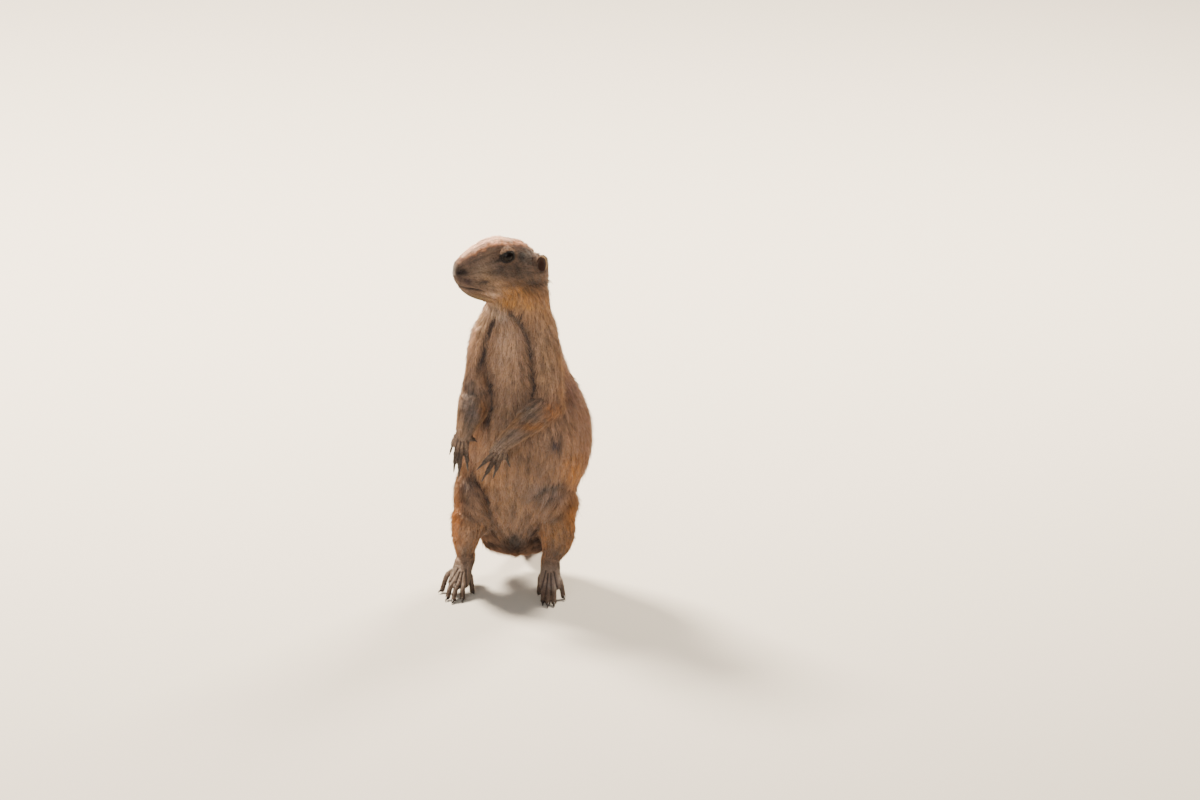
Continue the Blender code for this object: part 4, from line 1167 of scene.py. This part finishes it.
def scatterRoots(count):
    # triangles are drawn by their area over the area that one tuft covers
    corners = skinPoints[skinTriangles]
    normal = np.cross(corners[:, 1] - corners[:, 0], corners[:, 2] - corners[:, 0])
    area = np.linalg.norm(normal, axis=1) / 2
    sizes = skinFields["sizes"][skinTriangles[:, 0]]
    middle = corners.mean(1)
    isHead = skinFields["part"][skinTriangles[:, 0]] == "head"
    need = area / (sizes[:, 0] * sizes[:, 1]) ** 0.8
    density = np.array([coatSettings["density"].get(name, 1.0) for name in partNames])
    need *= skinFields["mix"][skinTriangles[:, 0]] @ density * np.where(isHead, coatSettings["headDensity"], 1.0)
    # no tufts in the eyes, under the ears, on the bare nose or on the floor side
    for side in (1, -1):
        x, y, z = eyePlaces(middle, side)
        need[(np.hypot(x, y) < coatSettings["bareEye"]) & (z > -0.002)] = 0
    need[isHead & (earShare(middle) < coatSettings["bareEar"])] = 0
    nose, half = coatSettings["bareNose"]
    need[isHead & ((((headPlaces(middle) - nose) / half) ** 2).sum(1) < 1)] = 0
    need[(middle[:, 2] < 0.0022) & (normal[:, 2] < 0)] = 0
    pick = chance.choice(len(area), count, p=need / need.sum())
    a, b = np.sqrt(chance.random(count)), chance.random(count)
    weights = np.stack([1 - a, a * (1 - b), a * b], -1)[..., None]
    return (corners[pick] * weights).sum(1), unit((skinNormals[skinTriangles[pick]] * weights).sum(1))


def earRoom(points):
    # millimetres back to the front edge of the ear, over which the hair before it doesn't grow
    x, out, z = earPlaces(points).T
    high, wide = earSizes["high"] * 1000, earSizes["wide"] * 1000
    edge = wide * np.sqrt(np.maximum(1 - (z / high) ** 2, 0))
    before = (x > 0) & (np.abs(z) < high) & (out > -8)
    return np.where(before, np.maximum(x - edge, 0) + 0.9, 99)


headHair = {"nose": 0.42, "lowCheek": 1.1, "byEye": 0.45, "eyeHalf": (9, 7)}


def headLength(roots, part):
    # hair grows longer from the nose back to the neck, most on the low cheek
    x, _, z = headPlaces(roots).T
    share = headHair["nose"] + (1 - headHair["nose"]) * smoothStep(x, 36, -4)
    share = share * (1 + headHair["lowCheek"] * smoothStep(z, -16, -30) * smoothStep(x, 22, 6))
    wide, high = headHair["eyeHalf"]
    return np.where(part == "head", share * (1 - headHair["byEye"] * bell(x, wide) * bell(z, high)), 1.0)


def tuftChart(fields, chosen):
    # unwrap: each limb a column, its angle across and its reach up, as a sleeve cut open
    limbOf, angle, reach = (fields[key][chosen] for key in ("limb", "angle", "reach"))
    kinds, place, counts = np.unique(limbOf, return_inverse=True, return_counts=True)
    widths = counts ** 0.5 / (counts ** 0.5).sum()
    starts = np.concatenate([[0], np.cumsum(widths)[:-1]])
    chart = np.empty((len(chosen), 2))
    for number in range(len(kinds)):
        mine = place == number
        around = angle[mine] / (2 * np.pi) + 0.5
        low, high = reach[mine].min(), reach[mine].max()
        chart[mine, 0] = starts[number] + widths[number] * (0.02 + 0.96 * around)
        chart[mine, 1] = (reach[mine] - low) / max(high - low, 1e-6)
    return 0.004 + 0.992 * chart


def waveSlope(points, size):
    # tips lean down the slope of a soft noise, so that neighbours meet in clumps
    draw = np.random.default_rng(8)
    ways = unit(draw.normal(size=(10, 3)))
    phases = draw.uniform(0, 2 * math.pi, 10)
    return -np.cos(points @ ways.T * (2 * math.pi / size) + phases) @ ways / math.sqrt(10) * 1.4


def tuftFaces(count, points):
    # three quads from the root's ring to the middle's, three faces to the tip and one at the root
    base = np.arange(count)[:, None] * 7
    pairs = ((0, 1), (1, 2), (2, 0))
    quads = np.stack([base + (a, b, b + 3, a + 3) for a, b in pairs], 1).reshape(-1, 4)
    fans = np.stack([base + (3 + a, 3 + b, 6) for a, b in pairs] + [base + (2, 1, 0)], 1).reshape(-1, 3)
    # the faces look out if the first quad's normal points away from the middle of its tuft
    a, b, c, _ = points[quads[:1]][0]
    if np.dot(np.cross(b - a, c - a), (a + b) / 2 - points[:3].mean(0)) < 0:
        quads, fans = quads[:, ::-1], fans[:, ::-1]
    starts = np.concatenate([np.arange(len(quads)) * 4, len(quads) * 4 + np.arange(len(fans)) * 3])
    return np.concatenate([quads.ravel(), fans.ravel()]), starts


def growTufts(name, roots, normals, lie, sizes, colours, chart):
    # rings at the root and half way, and a tip: point = root + way * length * a share, and over
    # the skin length * lift * a share; the width swells to the middle and ends in a point
    count = len(roots)
    length, width, lift = (sizes[:, k][:, None] for k in range(3))
    length, width = length * 0.001, width * 0.001
    across = unit(np.cross(lie, normals))
    spread = chance.normal(size=(count, 2)) * coatSettings["spread"]
    tipWay = unit(lie + across * spread[:, :1])
    (far, rise), (farthest, most) = coatSettings["middle"], coatSettings["tip"]
    middle = roots + tipWay * length * far + normals * length * lift * rise
    tip = roots + tipWay * length * farthest + normals * length * lift * (most + spread[:, 1:])
    tip -= waveSlope(roots, coatSettings["clump"]) * length * coatSettings["clumpPull"]
    root = roots - normals * coatSettings["sunk"] - lie * 0.0003
    rings = []
    for centre, scale in ((root, coatSettings["rootWide"]), (middle, 1.0)):
        half = width * scale / 2
        ridge = centre + normals * half * coatSettings["thick"] * 2
        rings += [centre - across * half, ridge, centre + across * half]
    points = np.stack([*rings, tip], 1).reshape(-1, 3)
    # hair that would go through the floor is bent to lie along it, the tips highest
    points[:, 2] = np.maximum(points[:, 2], np.tile(coatSettings["floor"], count))
    corners, starts = tuftFaces(count, points)
    mesh = bpy.data.meshes.new(name)
    mesh.vertices.add(len(points))
    putPoints(mesh, points)
    mesh.loops.add(len(corners))
    mesh.loops.foreach_set("vertex_index", corners.astype(np.int32))
    mesh.polygons.add(len(starts))
    mesh.polygons.foreach_set("loop_start", starts.astype(np.int32))
    mesh.update(calc_edges=True)
    mesh.shade_smooth()
    bands = np.array(coatSettings["bands"])[[0, 0, 0, 1, 2, 1, 3]]
    setColours(mesh, (colours[:, None] * bands[None, :, None]).reshape(-1, 3))
    spot = np.array([(-1, -1), (0, -1), (1, -1), (-1, 0), (0, 0), (1, 0), (0, 1)]) * coatSettings["patch"] / 2
    places = (chart[:, None] + spot).reshape(-1, 2)
    layer = mesh.uv_layers.new(name="OFBake")
    layer.data.foreach_set("uv", places[corners].astype(np.float32).ravel())
    mesh.materials.append(furMaterial)
    thing = inScene(name, mesh)
    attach(thing, "root")
    return thing


toneSettings = {
    "locks": 0.42, "lowLocks": 0.10, "single": 0.12,  # how much locks and single tufts differ
    "sleeve": (0.0028, 0.026), "fan": (9, 24),  # the size of a lock, across and along its lie
    "warmth": (0.05, 0.03), "warmWay": np.array([0.4, 0, -1.0]), "guard": 1.12,
}


def tuftTones(roots, normals, fields, guard):
    # what each tuft's colour is multiplied by: locks a few mm wide run with the lie, fanned out
    # from the crotch low on the belly, and single tufts differ a little from their neighbours
    wide, long = toneSettings["sleeve"]
    sleeve = np.stack([fields["angle"] * fields["wide"] / wide, fields["reach"] / long], -1)
    gone = seenPlace(roots) - seenPlace(lieSettings["crotch"][None])
    wide, long = toneSettings["fan"]
    fan = np.stack([np.arctan2(gone[:, 0], gone[:, 1]) * wide, np.linalg.norm(gone, axis=1) / long], -1)
    onTrunk = np.isin(fields["part"], ("trunk", "thigh"))
    low = smoothStep(roots[:, 2], 0.120, 0.090) * smoothStep(-normals[:, 1], 0.0, 0.5) * onTrunk
    streaks = [0.6 * waves(places, 1.0, 21) + 0.6 * waves(places, 2.6, 24) for places in (sleeve, fan)]
    locks = np.tanh(1.3 * (streaks[0] + low * (streaks[1] - streaks[0])))
    shade = 1 + (toneSettings["locks"] + toneSettings["lowLocks"] * low) * locks
    shade = shade + toneSettings["single"] * chance.normal(size=len(roots))
    broad, single = toneSettings["warmth"]
    warmth = broad * waves(roots, 0.018, 22) + single * chance.normal(size=len(roots))
    tones = np.clip(shade, 0.5, 1.6)[:, None] * (1 + warmth[:, None] * toneSettings["warmWay"])
    return np.where(guard[:, None], tones * toneSettings["guard"], tones)


def makeCoat():
    roots, normals = scatterRoots(coatSettings["tufts"])
    fields = limbFields(roots)
    lie = coatLie(roots, normals, fields)
    part = fields["part"]
    sizes = fields["sizes"] * chance.uniform(*coatSettings["vary"], (len(roots), 3))
    grown = headLength(roots, part)
    sizes[:, :2] *= np.stack([grown, np.sqrt(grown)], -1)
    guard = chance.random(len(roots)) < coatSettings["guardShare"]
    sizes[guard] *= coatSettings["guard"]
    sizes[:, 0] = np.minimum(sizes[:, 0], earRoom(roots))
    loose = np.isin(part, ("trunk", "thigh", "upperArm"))
    for _, place, half, more in ruffles:
        sizes[:, 2] *= 1 + (more - 1) * loose * np.exp(-(((seenPlace(roots) - place) / half) ** 2).sum(1))
    # a tuft is seen most beyond its middle, so it takes the marking that lies there
    along = lie * (sizes[:, 0] * coatSettings["seenAt"] * 0.001)[:, None]
    colours = coatColours(roots + along, normals, fields) * tuftTones(roots, normals, fields, guard)

    onTrunk = np.isin(part, ("trunk", "thigh"))
    ahead = normals[:, 1] < coatSettings["front"]
    high = roots[:, 2] > coatSettings["high"]
    left = roots[:, 0] > coatSettings["left"]
    leftFace = (roots - headSizes["centre"]) @ headAxes[1] > 0
    pieces = {
        "coatHeadLeft": (part == "head") & leftFace,
        "coatHeadRight": (part == "head") & ~leftFace,
        "coatChest": onTrunk & ahead & high,
        "coatBellyLeft": onTrunk & ahead & ~high & left,
        "coatBellyRight": onTrunk & ahead & ~high & ~left,
        "coatNape": onTrunk & ~ahead & high,
        "coatRumpLeft": onTrunk & ~ahead & ~high & left,
        "coatRumpRight": onTrunk & ~ahead & ~high & ~left,
        "coatArms": np.isin(part, ("upperArm", "forearm", "hand")),
        "coatLegs": np.isin(part, ("shank", "foot")),
        "coatTail": part == "tail",
    }
    for name, mine in pieces.items():
        chosen = np.flatnonzero(mine)
        print(name, len(chosen), "tufts")
        chosen = chosen[:coatSettings["most"]]
        own = (values[chosen] for values in (roots, normals, lie, sizes, colours))
        thing = growTufts(name, *own, tuftChart(fields, chosen))


makeCoat()
print("coat made")


lidSettings = {"corner": 0.16, "slope": 0.12, "thick": 0.00055, "lift": 0.0001, "least": 0.0026}


def eyeColours(points, centre, axes):
    # a black pupil in a dark brown iris, which darkens again at its edge
    x, y, z = ((points - centre) @ axes.T * 1000).T
    gone = np.hypot(x, y)
    iris = smoothStep(gone, 2.0, 2.8) * smoothStep(gone, 5.4, 4.2) * (z > 0)
    colours = np.tile(linear("#0a0606"), (len(points), 1))
    return blend(colours, iris * (0.8 + 0.3 * waves(points, 0.0012, 31)), "#150d09")


def lidPath(side):
    # a thin roll along the opening, drawn out to a corner towards the nose, on the eyeball's face:
    # x = wide * cosine, y = high * sine, and out as far as the ball reaches there
    centre, out, ahead, up = eyeFrame(side)
    turns = np.linspace(0, 2 * np.pi, 49)
    wide, high = headSizes["opening"]
    x = wide * np.cos(turns) * (1 + lidSettings["corner"] * np.clip(np.cos(turns), 0, 1) ** 6)
    y = high * np.sin(turns) * (1 - lidSettings["slope"] * np.cos(turns))
    reach = headSizes["eyeRadius"] + lidSettings["lift"]
    rest = np.sqrt(np.maximum(reach ** 2 - x**2 - y**2, 0))
    return centre + x[:, None] * ahead + y[:, None] * up + np.maximum(rest, lidSettings["least"])[:, None] * out


def makeEyes():
    for side, name in ((1, "left"), (-1, "right")):
        centre, out, ahead, up = eyeFrame(side)
        axes = np.array([ahead, up, out])
        shape = ball(centre, (headSizes["eyeRadius"],) * 3, axes, 40, 25)
        eye = newObject("eyeball" + name.capitalize(), [shape], eyeMaterial, "eye")
        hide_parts("eye_" + name)
        setColours(eye.data, eyeColours(arraysOf(eye.data)[0], centre, axes))
        path = lidPath(side)
        rim = limb(path, [(lidSettings["thick"],) * 2] * len(path), out, 8, 96, caps=1)
        newObject("lidRim" + name.capitalize(), [rim], rimMaterial, "eye")


makeEyes()


whiskerSettings = {
    "out": (0.8, 1.1), "back": (0.25, 0.8), "up": (-0.35, 0.25), "length": (0.016, 0.026),
    "root": 0.0085, "thick": (0.00013, 0.00011, 0.00008, 0.00003),
}


def makeFace():
    # lips and whiskers: thin tubes along their lines
    path = lips + unit(onHead(headSizes["mouthCentre"]) - lips) * 0.0005
    newObject("lipLine", [limb(path, [(0.0004, 0.0004)] * len(path), level, 8, 60, caps=1)], rimMaterial, "coat")
    draw = np.random.default_rng(5)
    bend = headWay(-0.15, 0, -0.25)
    thick = [(radius, radius) for radius in whiskerSettings["thick"]]
    hairs = []
    for side in (1, -1):
        for x, z in whiskerSpots:
            keys = ("out", "back", "up", "length")
            out, back, up, length = (draw.uniform(*whiskerSettings[key]) for key in keys)
            start = onHead((x / 1000, side * whiskerSettings["root"], z / 1000))
            way = unit(headWay(-back, out * side, up))
            path = [start + way * length * t + bend * length * t * t for t in (0, 0.33, 0.66, 1.0)]
            hairs.append(limb(path, thick, level, 5, 10, caps=1))
    newObject("whiskers", hairs, whiskerMaterial, "coat")


makeFace()


earColours = {"skin": "#67503f", "cup": "#3b251c", "edge": "#dcbd97", "hair": "#57443a", "backHair": "#8a6a4e"}


def earFrame(side):
    # the middle of the ear, the ways it opens, up and across it, and its height
    ahead, left, up = earSizes["opens"]
    out = unit(headWay(ahead, left * side, up))
    up = unit(headAxes[2] - headAxes[2] @ out * out + headAxes[0] * earSizes["lean"])
    centre = onHead(mirrored(earSizes["place"], side)) + out * earSizes["rise"]
    drop, size = (0, 1.0) if side > 0 else earSizes["rightDrop"]
    return centre + headAxes[2] * drop, out, up, np.cross(up, out) * side, earSizes["high"] * size


def earRim(angle, up, across, high):
    # an egg: high * sine up it, and wide * cosine * (1 + egg * sine) across it
    wide = earSizes["wide"] * np.cos(angle) * (1 + earSizes["egg"] * np.sin(angle))
    return (high * np.sin(angle))[:, None] * up + wide[:, None] * across


def rearShare(ways, up):
    return smoothStep(dot(ways, up * 0.6 - headAxes[0]), -0.1, 0.8)


def makeEars():
    # a small cup sunk in the coat: a bowl, a rounded rim, and the back down to the head
    bowl = np.linspace(0.08, 0.92, 7)
    share = np.concatenate([bowl, [0.96, 0.99, 1.01, 1.02, 1.02, 0.96, 0.80]])
    fall = np.array([0.15, 0.2, 0.0, -0.8, -2.4, -4.2, -5.6]) / 1000
    depth = np.concatenate([-earSizes["deep"] * (1 - (bowl / 0.90) ** 2), fall])
    turns = np.linspace(0, 2 * np.pi, 36, endpoint=False)
    lift = depth[:, None] + 0.0007 * np.cos(2 * turns) * share[:, None] ** 2
    rings = np.concatenate([np.repeat(np.arange(len(share)), len(turns)), [0, len(share) - 1]])
    for side, name in ((1, "left"), (-1, "right")):
        centre, out, up, across, high = earFrame(side)
        points = centre + share[:, None, None] * earRim(turns, up, across, high) + lift[..., None] * out
        poles = [centre - out * earSizes["deep"], centre - out * 0.0058]
        shape = np.vstack([points.reshape(-1, 3), poles]), ringFaces(len(share), len(turns))
        ear = newObject("ear" + name.capitalize(), [shape], None, "coat")
        places = arraysOf(ear.data)[0]
        colours = np.tile(linear(earColours["skin"]), (len(places), 1))
        colours = blend(colours, smoothStep(9.0 - rings, 0.3, 1.8), earColours["cup"])
        edge = rearShare(unit(places - centre), up) * bell(rings - 9.6, 1.0)
        setColours(ear.data, blend(colours, edge, earColours["edge"]))
        ear.data.materials.append(hideMaterial)
        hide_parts("ear_" + name)
        growEarHair("coatEar" + name.capitalize(), centre, out, up, across, high)


def growEarHair(name, centre, out, up, across, high):
    # short hair round the rim with a pale fringe, and longer hair on the back of the ear
    draw = np.random.default_rng(60)
    count = earSizes["hairs"]
    angle = draw.uniform(0, 2 * np.pi, count)
    back = draw.uniform(0, earSizes["back"], count)
    step = draw.uniform(0.97, 1.04, count) - 0.16 * (back / earSizes["back"]) ** 3
    root = centre + step[:, None] * earRim(angle, up, across, high) - back[:, None] * out
    outward = unit(np.sin(angle)[:, None] * up + np.cos(angle)[:, None] * across)
    lie = unit(outward * 0.35 + out * 0.75 - headAxes[0] * 0.45)
    normal = unit(outward - dot(outward, lie)[:, None] * lie)
    length = draw.uniform(0.8, 1.4, count) * (1 + back / 0.0060)
    sizes = np.stack([length, draw.uniform(0.16, 0.26, count), np.full(count, 0.1)], -1)
    tone = blend(np.tile(linear(earColours["hair"]), (count, 1)), back / 0.0030, earColours["backHair"])
    tone = blend(tone, rearShare(outward, up) * bell(back, 0.0012), earColours["edge"])
    tone = tone * draw.uniform(0.85, 1.15, (count, 1))
    chart = 0.01 + 0.98 * np.stack([angle / (2 * np.pi), back / earSizes["back"]], -1)
    growTufts(name, root, normal, lie, sizes, tone, chart)


makeEars()
print("face made")


# the bare horn is narrower than the solid, so that the end of the finger shows round it
clawHorn = {"slim": 0.76, "blunt": 2.8, "flat": 0.85}


def makeClaw(node, path, above, size):
    # a horn that tapers along a bent line and is a little deeper than it is wide
    end, tip = path[-2:]
    root = end - unit(tip - end) * clawSizes["sunk"]
    share = np.linspace(0, 1, 7)[:, None]
    line = root + (tip - root) * share + unit(above) * size["hook"] * 4 * share * (1 - share)
    taper = 1 - (1 - clawSizes["tip"]) * share[:, 0] ** clawHorn["blunt"]
    thick = size["radius"] * clawHorn["slim"] * taper
    first, *others = node.split("_")
    shape = limb(line, list(zip(thick * clawHorn["flat"], thick)), above, 14, 16, (0.6, 1.3))
    claw = newObject(first + "".join(word.capitalize() for word in others), [shape], hornMaterial, "claw_horn")
    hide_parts(node)


for side in sides:
    for number in range(5):
        hand, end = clawSizes["thumb" if number == 0 else "hand"], f"{side.lower()}_{number + 1}"
        makeClaw("claw_hand_" + end, fingerPath(side, number), armSizes[side]["back"], hand)
        makeClaw("claw_foot_" + end, toePath(side, number), level, clawSizes["foot"])
print("claws made")


studio = {
    "floorHalf": 30.0, "floor": "#c8c2b9", "world": "#e6e4e0", "worldStrength": 0.325,
    "aim": np.array([0, 0, 0.16]),
    "lamps": [  # place, size, watts, colour: sun from behind the right, soft front, sun from behind the left
        ((-0.95, 1.05, 1.60), 0.50, 240, "#ffefd8"),
        ((-0.5, -1.8, 1.2), 1.6, 27, "#fff7ec"),
        ((0.70, 1.05, 1.15), 0.5, 75, "#ffefd8"),
    ],
    # a long lens, 20 degrees above the level, aimed at the middle of the photograph's frame
    "down": math.radians(20), "across": 0.0664, "up": 0.1517, "away": 10.93, "lens": 400, "sensor": 36,
}


def makeStudio():
    half = studio["floorHalf"]
    mesh = bpy.data.meshes.new("floor")
    corners = [(-half, -half, 0), (half, -half, 0), (half, half, 0), (-half, half, 0)]
    mesh.from_pydata(corners, [], [(0, 1, 2, 3)])
    floor = inScene("floor", mesh)
    paint = {"Roughness": 0.8, "Base Color": (*linear(studio["floor"]), 1)}
    mesh.materials.append(newMaterial("pale painted floor", paint)[0])

    world = bpy.data.worlds.new("studio")
    world.use_nodes = True
    background = world.node_tree.nodes["Background"]
    background.inputs["Color"].default_value = (*linear(studio["world"]), 1)
    background.inputs["Strength"].default_value = studio["worldStrength"]
    bpy.context.scene.world = world
    for number, (place, size, watts, colour) in enumerate(studio["lamps"]):
        lamp = bpy.data.lights.new(f"softbox{number}", "AREA")
        lamp.size = size
        lamp.energy = watts
        lamp.color = linear(colour)
        thing = inScene(f"softbox{number}", lamp)
        way = studio["aim"] - place
        thing.location = place
        thing.rotation_euler = (math.acos(-unit(way)[2]), 0, math.atan2(way[1], way[0]) - math.pi / 2)

    camera = bpy.data.cameras.new("camera")
    camera.lens = studio["lens"]
    camera.sensor_width = studio["sensor"]
    camera.clip_end = 100
    thing = inScene("camera", camera)
    down = studio["down"]
    up = (studio["up"] - viewUp[1] * offset[1]) / math.cos(down)
    away = studio["away"] * np.array([0, -math.cos(down), math.sin(down)])
    thing.location = np.array([studio["across"] - offset[0], 0, up]) + away
    thing.rotation_euler = (math.pi / 2 - down, 0, 0)
    bpy.context.scene.camera = thing


makeStudio()
